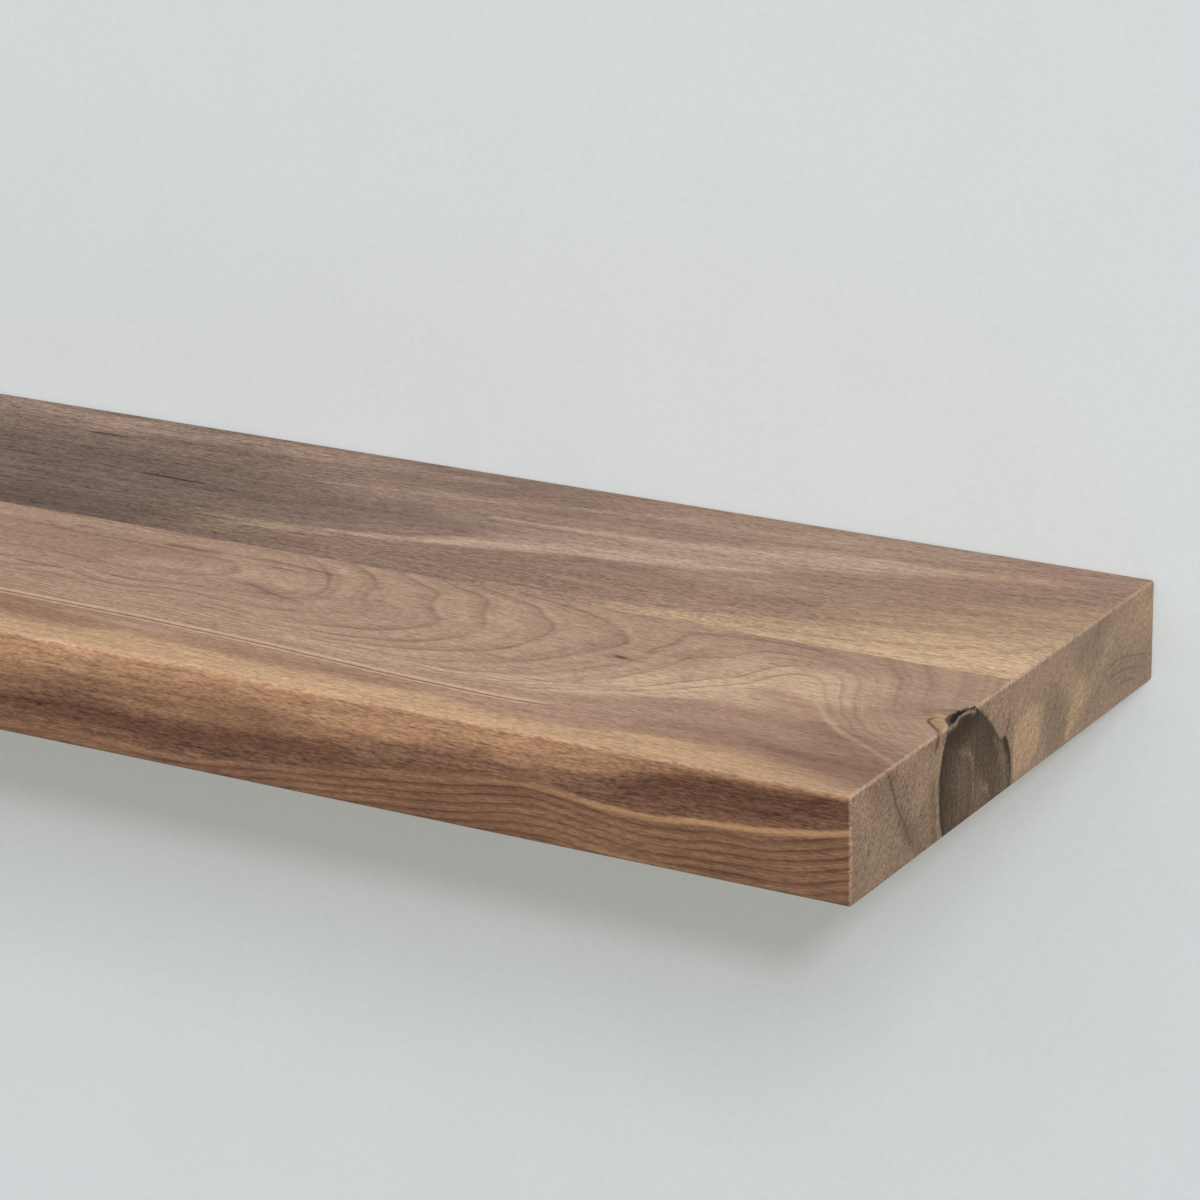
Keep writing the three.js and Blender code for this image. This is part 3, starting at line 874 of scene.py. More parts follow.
def place_mesh(obj, move=(0, 0, 0), turn=None):
    """Turns and moves an object's mesh, so that the object itself stays at the origin."""
    matrix = Matrix.Translation(Vector(move) * MM)
    if turn:
        matrix = matrix @ Matrix.Rotation(math.radians(turn[0]), 4, turn[1])
    obj.data.transform(matrix)
    return obj


def apply_modifiers(obj):
    graph = bpy.context.evaluated_depsgraph_get()
    mesh = bpy.data.meshes.new_from_object(obj.evaluated_get(graph))
    obj.modifiers.clear()
    obj.data = mesh


def cut(obj, cutters):
    """Takes the cutters out of an object, and the cutters out of the scene."""
    for cutter in cutters:
        boolean = obj.modifiers.new("cut", "BOOLEAN")
        boolean.operation = "DIFFERENCE"
        boolean.solver = "MANIFOLD"
        boolean.object = cutter
    bpy.context.view_layer.update()
    apply_modifiers(obj)
    obj.data.materials.clear()
    obj.data.set_sharp_from_angle(angle=math.radians(SHARP_TURN))
    for cutter in cutters:
        bpy.data.objects.remove(cutter)
    return obj


def quarter_turn(turn=0):
    """The angles of the places on a quarter of a circle, after some whole quarters."""
    return [math.radians(90 * (turn + step / CORNER_STEPS)) for step in range(CORNER_STEPS + 1)]


def along_shelf(obj, node):
    """Moves a shape turned about Y to its node's place along the shelf."""
    low, high = node_box(node)
    return place_mesh(obj, ((low[0] + high[0]) / 2, 0, 0))


def upright_in_board(obj, node):
    """Stands a shape turned about Y on end, at its node's place in the board."""
    middle = sum(node_box(node)) / 2
    return place_mesh(obj, (middle[0], middle[1], 0), (90, "X"))


def crossed_bars(reach, half_width, first, last):
    """Two bars across each other between two places along Y, to cut a cross with."""
    return [
        box_object("bar", (-reach, first, -half_width), (reach, last, half_width)),
        box_object("bar", (-half_width, first, -reach), (half_width, last, reach)),
    ]


def groove_cutter():
    """The groove in the back of the board that the wall plate fills."""
    low, high = node_box("wall_plate")
    half_length = high[0] + GROOVE_GAP - GROOVE_CORNER
    half_height = high[2] + GROOVE_GAP - GROOVE_CORNER
    outline = []
    for turn, (sign_x, sign_z) in enumerate(((1, 1), (-1, 1), (-1, -1), (1, -1))):
        for angle in quarter_turn(turn):
            x = sign_x * half_length + GROOVE_CORNER * math.cos(angle)
            z = sign_z * half_height + GROOVE_CORNER * math.sin(angle)
            outline.append((x, z))
    count = len(outline)
    points = [(x, y, z) for y in (low[1] - GROOVE_GAP, OVERRUN) for x, z in outline]
    walls = [[i, count + i, count + (i + 1) % count, (i + 1) % count] for i in range(count)]
    ends = [list(range(count)), list(range(count, count * 2))[::-1]]
    return mesh_object("groove", np.array(points) * MM, walls + ends, smooth=False)


def bore_cutter(rod):
    """A rod's drilled bore, with a wider mouth for its weld."""
    bottom = node_box(rod)[0][1] - BORE_ROOM
    face = node_box("wall_plate")[0][1]
    profile = (
        (0, bottom - DRILL_POINT),
        (BORE_RADIUS, bottom),
        (BORE_RADIUS, face - BORE_MOUTH),
        (BORE_RADIUS + BORE_MOUTH, face),
        (0, face),
    )
    return along_shelf(lathe("bore", profile, BORE_SIDES), rod)


def insert_cutter(insert):
    """The hole in the underside that holds a threaded insert, open into the rod's bore above it."""
    low, high = node_box(insert)
    radius = (high[0] - low[0]) / 2 + INSERT_GAP
    foot = node_box("rear_stave")[0][2] - OVERRUN
    profile = ((0, foot), (radius, foot), (radius, 0), (0, 0))
    return upright_in_board(lathe("insert_hole", profile, BORE_SIDES), insert)


def chip_gap(points):
    """How far each point lies outside the chip's edge, measured across the top, and half the chip's width."""
    gap, half_width = nearest_on(smooth_line(CHIP_COURSE), points[:, :2])
    return np.abs(gap) - half_width, half_width


def chipped(points):
    """Sinks the crevice beside the knot, and drops the ragged rim between it and the end a little."""
    along, across, height = points.T
    top = node_box("front_stave")[1][2]
    gap, half_width = chip_gap(points)
    hollow = np.sqrt(np.clip(-gap / half_width, 0, 1))
    by_knot = np.exp(-(((across - RIM_MIDDLE) / RIM_SPREAD) ** 2))
    ragged = 0.6 + 0.4 * np.sin(across * 1.7) * np.sin(across * 0.9 + 1)
    rim = RIM_DROP * by_knot * ragged * fade(along, *RIM_STRIP)
    drop = hollow * CHIP_DEPTH * (0.75 + 0.25 * ragged) + rim * (1 - hollow)
    share = np.clip((height - CHIP_FOOT) / (top - CHIP_FOOT), 0, 1)
    return points - np.c_[np.zeros((len(points), 2)), drop * share]


def rim_field(points):
    """How much each point lies on the rim between the crevice and the end, from 0 to 1, where a painted
    highlight makes it pale.
    """
    gap = nearest_on(smooth_line(RIM_COURSE), points[:, :2])[0]
    return 0.5 ** ((gap / RIM_HALF_WIDTH) ** 2) * fade(points[:, 2], *RIM_HEIGHT)


def facings(points, low, high):
    """How much each point of an eased block faces each side, from 0 to 1, and the way that it faces."""
    off = (points - np.clip(points, low + ARRIS, high - ARRIS)) / ARRIS
    facing = {side: np.clip(off @ np.array(SIDES[side][1]), 0, 1) for side in SIDES}
    return facing, off / np.maximum(np.linalg.norm(off, axis=1), 1e-6)[:, None]


def stroke_mask(points, facing, side, half_width, strength, edge, course):
    """Where a stroke lies, from 0 to 1. It runs out gently along the grain."""
    axes = SIDES[side][0]
    stretch = np.array((1, 1) if "end" in side else (ALONG_GRAIN, 1))
    near = facing[side] > STROKE_FACING
    line = np.c_[course, np.broadcast_to(np.array(half_width, float), len(course))]
    if len(line) > 2:
        line = smooth_line(line, CURVE_PARTS)
    gap, width = nearest_on(line * (*stretch, 1), points[near][:, axes] * stretch)
    mask = np.zeros(len(points))
    mask[near] = strength * 0.5 ** ((np.abs(gap) / np.maximum(width, LEAST_WIDTH)) ** edge)
    return mask * facing[side]


def seam_fields(points, facing, lines):
    """For the pale lines on the top and front: the distance, plus towards the heartwood; how strongly the
    line shows; and how much it is a pair of lines."""
    distance = np.full(len(points), FAR)
    show = np.zeros(len(points))
    paired = np.zeros(len(points))
    for side, course, towards, pair in lines:
        near = facing[side] > SEAM_FACING
        gap, shown = nearest_on(smooth_line(course), points[near][:, SIDES[side][0]])
        closer = np.abs(gap) < np.abs(distance[near])
        distance[near] = np.where(closer, gap * towards, distance[near])
        show[near] = np.where(closer, shown, show[near])
        paired[near] = np.where(closer, pair, paired[near])
    return {"seam": np.clip(distance, -FAR, FAR), "seam_show": show, "seam_pair": paired}


def mark_fields(points, facing, marks):
    """For the nearest dark mark: the distance to it, with a sign on each side, half its width, and how dark
    it is."""
    distance = np.full(len(points), FAR_FROM_MARK)
    width = np.full(len(points), NO_MARK_WIDTH)
    dark = np.zeros(len(points))
    for side, rows in marks.items():
        near = facing[side] > MARK_FACING
        for depth, half_width, course in rows:
            line = smooth_line(course, CURVE_PARTS)
            taper = 1 - MARK_TAPER * np.linspace(-1, 1, len(line)) ** 4
            gap, taper = nearest_on(np.column_stack((line, taper)), points[near][:, SIDES[side][0]])
            closer = np.abs(gap) < np.abs(distance[near])
            distance[near] = np.where(closer, gap, distance[near])
            width[near] = np.where(closer, half_width, width[near])
            dark[near] = np.where(closer, depth * taper, dark[near])
    full, gone = MARK_REACH
    dark *= fade(np.abs(distance), gone, full)
    return {"mark": distance, "mark_width": width, "mark_dark": dark}


def knot_field(points, end):
    """The distance to the knot's rind in millimetres, minus inside the knot. It reaches in from the end."""
    outline = np.array(KNOT_OUTLINE, float)
    flat = points[:, 1:]
    gap = nearest_on(np.vstack((outline, outline[:1])), flat)[0]
    flat_distance = np.where(inside(outline, flat), -1, 1) * np.abs(gap)
    depth = end - points[:, 0]
    share = np.clip(depth / KNOT_REACH, 0, 1)
    rounded = KNOT_HALF_WIDTH * (1 - np.sqrt(1 - share**2)) + np.clip(depth - KNOT_REACH, 0, None)
    low_down = fade(points[:, 2], *KNOT_SHOULDER)
    reach = rounded * low_down + KNOT_HEAD_SLOPE * depth * (1 - low_down)
    return np.clip(flat_distance + reach, -FAR, FAR)


def point_attribute(mesh, name, values, kind="FLOAT"):
    attribute = mesh.attributes.new(name, kind, "POINT")
    if kind == "FLOAT_COLOR":
        data = np.c_[values, np.ones(len(values))]
        attribute.data.foreach_set("color", data.astype(np.float32).ravel())
    else:
        attribute.data.foreach_set("value", np.asarray(values, np.float32))


def mesh_points(mesh):
    points = np.empty(len(mesh.vertices) * 3, np.float32)
    mesh.vertices.foreach_get("co", points)
    return points.reshape(-1, 3).astype(float) / MM


def paint(points, facing, base, strokes):
    """The tone at each point: the base with the strokes laid over it, their edges ragged along the grain."""
    ragged = points.copy()
    for way, size, along, across, seed in EDGE_WAVES:
        ragged[:, way] += size * grain_noise(points, along, across, seed)
    for side, rows in strokes.items():
        for tone, *shape in rows:
            base = blend_tones(stroke_mask(ragged, facing, side, *shape), base, TONES[tone])
    return base


def by_side(facing, top, front, end):
    """The top's, the long sides' and the ends' tones, each weighed by how much a point faces that way. Inside
    the wood it is the front's."""
    weights = (
        facing["top"] ** 2,
        facing["front"] ** 2 + facing["under"] ** 2 + facing["back"] ** 2 + 1e-4,
        facing["end"] ** 2 + facing["far_end"] ** 2,
    )
    mixed = sum(weight[:, None] * tone for weight, tone in zip(weights, (top, front, end)))
    return mixed / sum(weights)[:, None]


def lit_arris(facing, tone, pale):
    """The arrises round the top, painted a little paler than the wood: partly wear, partly a painted
    highlight where the edges catch the light.
    """
    ends = facing["end"] + facing["far_end"]
    edge = facing["top"] * (ends + facing["front"] * 0.25) * 2 + facing["front"] * ends * 1.2
    return blend_tones(np.clip(edge, 0, 1) * ARRIS_LIGHT, tone, pale)


def three_zones(level, sap, umber, heart):
    """Sapwood, then a dark zone up to level 0, and heartwood above."""
    dark = blend_tones(fade(level, *SAP_EDGE), sap, umber)
    return blend_tones(fade(level, *HEART_EDGE), dark, heart)


def front_base(points, facing, level):
    """The front stave's broad tones: sapwood, dark zone and heartwood, with a rosy lens before the knot."""
    ragged = level + 0.3 * grain_noise(points, 60, 2.4, 11)
    top = three_zones(ragged, TONES["sap"], TONES["umber"], TONES["heart"])
    in_lens = fade(points[:, 0], *LENS_START) * fade(level, -0.1, -0.5) * fade(level, -3, -2)
    top = blend_tones(in_lens, top, TONES["lens"])
    side = three_zones(ragged, TONES["side_sap"], TONES["side_umber"], TONES["side_heart"])
    return by_side(facing, top, side, TONES["end_front"])


def rear_base(points, facing):
    """The rear stave's broad tones, which lighten from the left to the right."""
    place = points[:, 0] + 40 * grain_noise(points, 120, 14, 21)
    left, right = (fade(place, *change) for change in REAR_TOP_CHANGES)
    top = blend_tones(left, TONES["rear_left"], TONES["rear_middle"])
    top = blend_tones(right, top, TONES["rear_right"])
    left, right = (fade(place, *change) for change in REAR_SIDE_CHANGES)
    side = blend_tones(left, TONES["side_umber"], TONES["side_heart"])
    side = blend_tones(0.8 * right, side, TONES["side_pale"])
    return by_side(facing, top, side, TONES["end_rear"])


def front_show_and_contrast(points, facing, level):
    """How strongly the front stave's rings show, and how much its fibres do."""
    along = points[:, 0]
    below_line = facing["front"] * fade(level, 0.2, 1)
    show = (0.12 + 0.88 * fade(level, -0.5, 1)) * (1 + 0.7 * facing["front"])
    show *= 1 + 0.25 * below_line
    show *= 1 - 0.5 * facing["top"] * fade(along, *FAINT_RINGS)
    dark_zone = fade(level, -3.4, -2.4) * fade(level, 0.2, -0.2)
    contrast = 1 + facing["front"] * (0.2 + 0.4 * dark_zone) + 0.6 * (facing["end"] + facing["far_end"])
    contrast -= 0.3 * below_line + 0.25 * facing["top"] * fade(along, *FAINT_FIBRES)
    return show, contrast


def rear_contrast(points):
    """How much the rear stave's fibres show: most at the left, and in a strip along the glue line."""
    along, across = points[:, 0], points[:, 1]
    inward, start, end = GLUE_STRIP
    strip = fade(across, *inward) * fade(along, *start) * fade(along, *end)
    return 1.15 + 0.8 * fade(along, 190, 20) + 0.35 * strip


def write_figure(mesh, facing, normals, rings, fields):
    """Stores what the wood's material reads at each point of a stave."""
    level, slopes = rings
    across = slopes - normals * np.sum(slopes * normals, axis=1)[:, None]
    fields["ring"] = level
    fields["ring_slope"] = np.clip(np.linalg.norm(across, axis=1), 0.02, 1)
    fields["end_grain"] = facing["end"] + facing["far_end"]
    for name, values in fields.items():
        kind = "FLOAT_COLOR" if np.ndim(values) == 2 else "FLOAT"
        point_attribute(mesh, name, values, kind)


def draw_front_figure(mesh, facing, normals, low, high):
    points = mesh_points(mesh)
    rings = solid_field(FRONT_RINGS, FRONT_STRETCH, low, high)(points)
    base = front_base(points, facing, rings[0])
    show, contrast = front_show_and_contrast(points, facing, rings[0])
    write_figure(mesh, facing, normals, rings, {
        "tone": lit_arris(facing, paint(points, facing, base, FRONT_STROKES), TONES["pale"]),
        "ring_show": show,
        "contrast": contrast,
        **seam_fields(points, facing, SEAM_LINES),
        "seam_tone": by_side(facing, TONES["pale"], TONES["side_line"], TONES["end_beige"]),
        **mark_fields(points, facing, FRONT_MARKS),
        "knot": knot_field(points, high[0]),
        "knot_tone": paint(points, facing, TONES["knot"], KNOT_STROKES),
        "chip": np.where(points[:, 2] > CHIP_FOOT, chip_gap(points)[0], FAR_FROM_MARK),
        "rim": rim_field(points),
    })


def draw_rear_figure(mesh, facing, normals, low, high):
    points = mesh_points(mesh)
    rings = solid_field(REAR_RINGS, REAR_STRETCH, low, high)(points)
    base = rear_base(points, facing)
    write_figure(mesh, facing, normals, rings, {
        "tone": lit_arris(facing, paint(points, facing, base, REAR_STROKES), TONES["rear_pale"]),
        "ring_show": np.full(len(points), REAR_RING_SHOW),
        "contrast": rear_contrast(points),
        **mark_fields(points, facing, REAR_MARKS),
    })


def stave(name, node, steps_along, steps_across, glued_low, cutters, draw, wear=None):
    """A stave's wood: its eased skin, cut for the groove, bores and inserts, with its figure drawn on it."""
    low, high = node_box(node)
    xs = stations(low[0], high[0], steps_along, True, True)
    ys = stations(low[1], high[1], steps_across, not glued_low, glued_low)
    zs = stations(low[2], high[2], STEPS_UP, True, True)
    points, faces = skin(xs, ys, zs)
    past_glue = np.array((0, ARRIS * 2, 0))
    round_low = low - past_glue if glued_low else low
    round_high = high if glued_low else high + past_glue
    points = eased(points, round_low, round_high)
    obj = mesh_object(name, (wear(points) if wear else points) * MM, faces)
    cut(obj, cutters)
    facing, normals = facings(mesh_points(obj.data), round_low, round_high)
    draw(obj.data, facing, normals, low, high)
    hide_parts(node)
    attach(obj, "board")
    return obj


class Nodes:
    """Short calls that add shading nodes. A number or a colour may stand where a socket may."""

    def __init__(self, owner):
        owner.use_nodes = True
        self.tree = owner.node_tree

    def add(self, kind, inputs, output=0, **settings):
        node = self.tree.nodes.new(kind)
        for key, value in settings.items():
            setattr(node, key, value)
        for key, value in inputs.items():
            self.set(node.inputs[key], value)
        return node.outputs[output]

    def set(self, socket, value):
        if isinstance(value, bpy.types.NodeSocket):
            self.tree.links.new(value, socket)
        elif socket.type == "RGBA":
            socket.default_value = (*value[:3], 1)
        else:
            socket.default_value = value

    def math(self, operation, one, two=0.0, three=0.0):
        return self.add("ShaderNodeMath", {0: one, 1: two, 2: three}, operation=operation)

    def times(self, *values):
        """Numbers and sockets multiplied together."""
        out = values[0]
        for value in values[1:]:
            out = self.math("MULTIPLY", out, value)
        return out

    def wobble(self, value, noise, size):
        """A value moved by a noise whose middle is a half."""
        return self.math("MULTIPLY_ADD", self.math("SUBTRACT", noise, 0.5), size, value)

    def mix(self, share, one, two, blend="MIX"):
        inputs = {0: share, 6: one, 7: two}
        return self.add("ShaderNodeMix", inputs, 2, data_type="RGBA", blend_type=blend)

    def mix_numbers(self, share, one, two):
        return self.add("ShaderNodeMix", {0: share, 2: one, 3: two})

    def ramp(self, value, low, high, out_low=0.0, out_high=1.0):
        inputs = {0: value, 1: low, 2: high, 3: out_low, 4: out_high}
        return self.add("ShaderNodeMapRange", inputs, interpolation_type="SMOOTHSTEP")

    def fall(self, value, low, high):
        return self.ramp(value, low, high, 1.0, 0.0)

    def attribute(self, name, output="Fac"):
        return self.add("ShaderNodeAttribute", {}, output, attribute_name=name)

    def place(self, scale=(1, 1, 1)):
        """The place on the object in millimetres, times a scale for each direction."""
        coordinates = self.add("ShaderNodeTexCoord", {}, "Object")
        scales = tuple(share / MM for share in scale)
        return self.add("ShaderNodeVectorMath", {0: coordinates, 1: scales}, operation="MULTIPLY")

    def noise(self, vector, scale=1.0, detail=2.0, roughness=0.5, distortion=0.0):
        inputs = {"Vector": vector, "Scale": scale, "Detail": detail, "Roughness": roughness,
                  "Distortion": distortion}
        return self.add("ShaderNodeTexNoise", inputs)

    def shaded(self, colour, factor):
        """A colour made darker or lighter by a factor around 1."""
        grey = self.add("ShaderNodeCombineColor", {0: factor, 1: factor, 2: factor})
        return self.mix(1.0, colour, grey, "MULTIPLY")

    def bump(self, height, strength, distance):
        inputs = {"Height": height, "Strength": strength, "Distance": distance * MM}
        return self.add("ShaderNodeBump", inputs)


class Paint(Nodes):
    """A new material."""

    def __init__(self, name):
        self.material = bpy.data.materials.new(name)
        super().__init__(self.material)
        self.shader = self.tree.nodes["Principled BSDF"]

    def finish(self, **inputs):
        for key, value in inputs.items():
            self.set(self.shader.inputs[key.replace("_", " ")], value)
        return self.material

    def finish_cloudy(self, cloud, tones, roughness, **inputs):
        """Finishes with two tones and two degrees of roughness that follow a cloud."""
        tone = self.mix(self.ramp(cloud, 0.3, 0.7), *(srgb(*look) for look in tones))
        return self.finish(Base_Color=tone, Roughness=self.ramp(cloud, 0.3, 0.7, *roughness), **inputs)


class Walnut(Paint):
    """Oiled walnut. The tone, the rings, the knot and the marks come from the stave's drawn figure."""

    def __init__(self, name, seed):
        super().__init__(name)
        self.shift = seed * SEED_SHIFT
        self.spot = self.place()
        self.end_grain = self.attribute("end_grain")
        self.grit = self.grain(2.4, 0.6, 1, 0.5)
        self.fibre = self.grain(8, 0.8, 2, 0.65)
        self.streak = self.grain(50, 2.4, 5, 0.7)
        self.cloud = self.grain(45, 16, 2, 0.5)
        self.wander = self.grain(14, 4, 2, 0.5)
        self.fleck = self.slanted(0.85, 2.4, 3, 0.75)
        self.fine = self.mix_numbers(self.end_grain, self.fibre, self.fleck)
        self.bare = self.attribute("tone", "Color")
        self.dark = self.mix(1.0, self.bare, srgb(196, 182, 176), "MULTIPLY")

    def grain(self, along_step, across_step, detail, roughness):
        """Noise drawn out along the shelf."""
        flat = self.place((1 / along_step, 1 / across_step, 1 / across_step))
        shift = (self.shift, self.shift, self.shift)
        moved = self.add("ShaderNodeVectorMath", {0: flat, 1: shift}, operation="ADD")
        return self.noise(moved, 1.0, detail, roughness)

    def slanted(self, width, length, detail, roughness):
        """Noise in short slanting flecks, which the end grain has instead of long fibres."""
        turned = {"Vector": self.spot, "Rotation": (math.radians(FLECK_SLANT), 0, 0),
                  "Scale": (2.0, length, width)}
        flecks = self.add("ShaderNodeMapping", turned, vector_type="TEXTURE")
        return self.noise(flecks, 1.0, detail, roughness)

    def band(self, value, rise, fall):
        """1 between two slopes: up from one number to another, and down again later."""
        return self.times(self.ramp(value, *rise), self.fall(value, *fall))

    def from_whole(self, value):
        """How far a number is from the nearest whole one."""
        part = self.math("FRACT", value)
        return self.math("MINIMUM", part, self.math("SUBTRACT", 1.0, part))

    def add_rings(self):
        """A soft dark line at each whole level with a shade on its inner side, and two thin lines between."""
        slope = self.attribute("ring_slope")
        wavy = self.wobble(self.attribute("ring"), self.wander, self.times(slope, 1.5))
        apart = self.from_whole(wavy)
        off = self.math("DIVIDE", apart, slope)
        off_thin = self.math("DIVIDE", self.from_whole(self.times(wavy, 3.0)), self.times(slope, 3.0))
        on_sides = self.math("SUBTRACT", 1.0, self.end_grain)
        show = self.times(self.attribute("ring_show"), self.ramp(self.cloud, 0.3, 0.65, 0.4, 1.0), on_sides)
        shade = self.fall(self.math("FRACT", wavy), 0.0, 0.6)
        line = self.times(self.fall(off, 0.05, 2.1), self.fall(apart, 0.06, 0.24),
                          self.ramp(self.fibre, 0.3, 0.55, 0.65, 1.0))
        thin = self.times(self.fall(off_thin, 0.0, 0.8), self.ramp(slope, 0.05, 0.12))
        colour = self.bare
        for mask, strength in ((shade, RING_SHADE), (line, RING_LINE), (thin, THIN_RING_LINE)):
            colour = self.mix(self.times(mask, show, strength), colour, self.dark)
        return colour

    def add_fibres(self, colour):
        """Fibres, grit, streaks along the rings and the end grain's mottle, as darker and lighter wood."""
        way = self.math("DIVIDE", self.add("ShaderNodeSeparateXYZ", {0: self.spot}), 55.0)
        across = self.times(self.attribute("ring"), 3.5)
        flow = self.add("ShaderNodeCombineXYZ", {0: way, 1: across, 2: self.shift})
        along_rings = self.mix_numbers(self.end_grain, self.noise(flow, 1.0, 4, 0.65), 0.5)
        mottle = self.ramp(self.slanted(1.7, 14.0, 4, 0.6), 0.3, 0.7, -0.09, 0.09)
        change = self.times(mottle, self.end_grain)
        for noise, low, high, size in (
            (self.fine, 0.25, 0.75, 0.16),
            (self.streak, 0.3, 0.7, 0.1),
            (self.grit, 0.2, 0.8, 0.22),
            (along_rings, 0.3, 0.7, 0.1),
            (self.cloud, 0.25, 0.75, 0.03),
        ):
            change = self.math("ADD", change, self.ramp(noise, low, high, -size, size))
        return self.shaded(colour, self.math("MULTIPLY_ADD", change, self.attribute("contrast"), 1.0))

    def add_seam(self, colour):
        """The pale line between the two woods, and the dark and pale pair beside a stretch of it."""
        seam = self.wobble(self.wobble(self.attribute("seam"), self.wander, 0.8), self.fibre, 0.9)
        tone = self.shaded(self.attribute("seam_tone", "Color"), self.ramp(self.grit, 0.2, 0.8, 0.84, 1.1))
        show = self.attribute("seam_show")
        pair = self.times(self.attribute("seam_pair"), show)
        strength = self.ramp(self.streak, 0.3, 0.6, 0.6, 0.9)
        pale = self.times(self.band(seam, (-1.7, -0.3), (0.4, 2.0)), strength, show)
        beside = self.times(self.band(seam, (-3.8, -3.1), (-2.7, -2.2)), pair, 0.8)
        dark = self.times(self.band(seam, (-2.4, -1.8), (-1.5, -1.0)), pair)
        colour = self.mix(self.math("ADD", pale, beside), colour, tone)
        return self.mix(dark, colour, self.dark)

    def add_knot(self, colour):
        """The knot, darkest at its rind."""
        knot = self.wobble(self.attribute("knot"), self.fleck, 1.8)
        in_knot = self.ramp(knot, 0.5, -0.7)
        rind = self.times(in_knot, self.ramp(knot, -3.2, -0.2), KNOT_RIND)
        upright = self.noise(self.place((0.3, 0.55, 0.09)), 1.0, 4, 0.65)
        spots = self.noise(self.spot, 0.8, 5, 0.8)
        heart = self.shaded(self.attribute("knot_tone", "Color"), self.ramp(spots, 0.32, 0.68, 0.42, 1.6))
        heart = self.shaded(heart, self.ramp(upright, 0.3, 0.7, 0.74, 1.26))
        colour = self.mix(in_knot, colour, heart)
        return self.mix(rind, colour, TONES["black"])

    def add_chip(self, colour):
        """The chip above the knot: painted shade, near black, in its hollow, and a painted highlight on its
        pale rim.
        """
        # Painted shade: the crevice's hollow is painted near black
        chip = self.ramp(self.wobble(self.attribute("chip"), self.fleck, 1.2), 0.25, -0.2)
        black = self.shaded(TONES["black"], self.ramp(self.fleck, 0.2, 0.8, 0.6, 2.2))
        colour = self.mix(chip, colour, black)
        # Painted highlight: the rim's lit edge is painted pale
        rim = self.times(self.attribute("rim"), self.ramp(self.fleck, 0.35, 0.55, 0.25, 1.0))
        return self.mix(rim, colour, TONES["rim"])

    def add_marks(self, colour, tone):
        """Gum streaks, bark and veins, each with a soft border."""
        distance = self.math("ABSOLUTE", self.attribute("mark"))
        off = self.wobble(self.math("SUBTRACT", distance, self.attribute("mark_width")), self.fibre, 0.5)
        core = self.math("ADD", self.ramp(off, 0.35, -0.15), self.ramp(off, 1.3, 0.1, 0.0, 0.35))
        core = self.times(self.math("MINIMUM", core, 1.0), self.attribute("mark_dark"))
        return self.mix(core, colour, tone)


def walnut(name, seed, mark_tone, has_knot):
    p = Walnut(name, seed)
    pores = p.grain(5, 0.42, 1, 0.5)
    pore = p.times(p.ramp(pores, 0.6, 0.7), PORE_STRENGTH)
    colour = p.add_fibres(p.add_rings())
    colour = p.mix(pore, colour, p.mix(1.0, colour, srgb(168, 150, 140), "MULTIPLY"))
    if has_knot:
        colour = p.add_chip(p.add_knot(p.add_seam(colour)))
    colour = p.add_marks(colour, TONES[mark_tone])
    rough = p.math("MULTIPLY_ADD", pore, 0.2, p.ramp(p.fine, 0.2, 0.8, 0.62, 0.5))
    relief = p.bump(p.math("SUBTRACT", p.times(p.fine, 0.35), pore), 0.5, 0.08)
    return p.finish(Base_Color=colour, Roughness=rough, Normal=relief, Specular_IOR_Level=0.15)


def powder_coat():
    """Fine black powder coat: a pebbled film with a few pale rubs."""
    p = Paint("black_powder_coat")
    place = p.place()
    pebble = p.noise(place, 1.6, 2, 0.5)
    dust = p.noise(place, 0.03, 4, 0.6)
    rub = p.noise(p.place((0.012, 0.6, 0.6)), 1.0, 3, 0.6)
    tone = p.mix(p.ramp(dust, 0.35, 0.7), srgb(44, 44, 46), srgb(60, 60, 62))
    tone = p.mix(p.ramp(pebble, 0.55, 0.8, 0.0, 0.4), tone, srgb(80, 80, 82))
    tone = p.mix(p.ramp(rub, 0.62, 0.72, 0.0, 0.5), tone, srgb(112, 112, 112))
    rough = p.ramp(dust, 0.3, 0.7, 0.5, 0.62)
    return p.finish(Base_Color=tone, Roughness=rough, Normal=p.bump(pebble, 0.35, 0.12))


def drawn_steel():
    """Bright drawn bar with lines along it, browned, blued and scaled by the heat beside its weld."""
    p = Paint("drawn_steel")
    place = p.place()
    lines = p.noise(p.place((4, 0.02, 4)), 1.0, 3, 0.6)
    from_wall = p.wobble(p.add("ShaderNodeSeparateXYZ", {0: place}, 1), p.noise(place, 0.05, 3, 0.6), 3.0)
    tone = p.mix(p.ramp(lines, 0.3, 0.7), srgb(168, 169, 172), srgb(202, 203, 206))
    for start, end, strength, look in HEAT_TINTS:
        tone = p.mix(p.ramp(from_wall, start, end, 0.0, strength), tone, srgb(*look))
    rough = p.math("ADD", p.ramp(lines, 0.3, 0.7, 0.26, 0.4), p.ramp(from_wall, -10.0, -8.0, 0.0, 0.2))
    return p.finish(Base_Color=tone, Metallic=1.0, Roughness=rough, Normal=p.bump(lines, 0.15, 0.05))


def zinc_plate():
    """Zinc plating, bluish and a little cloudy."""
    p = Paint("zinc_plate")
    cloud = p.noise(p.place(), 0.25, 4, 0.6)
    relief = p.bump(p.noise(p.place(), 2.5, 2, 0.6), 0.1, 0.05)
    tones = ((176, 180, 188), (204, 206, 208))
    return p.finish_cloudy(cloud, tones, (0.28, 0.44), Metallic=1.0, Normal=relief)


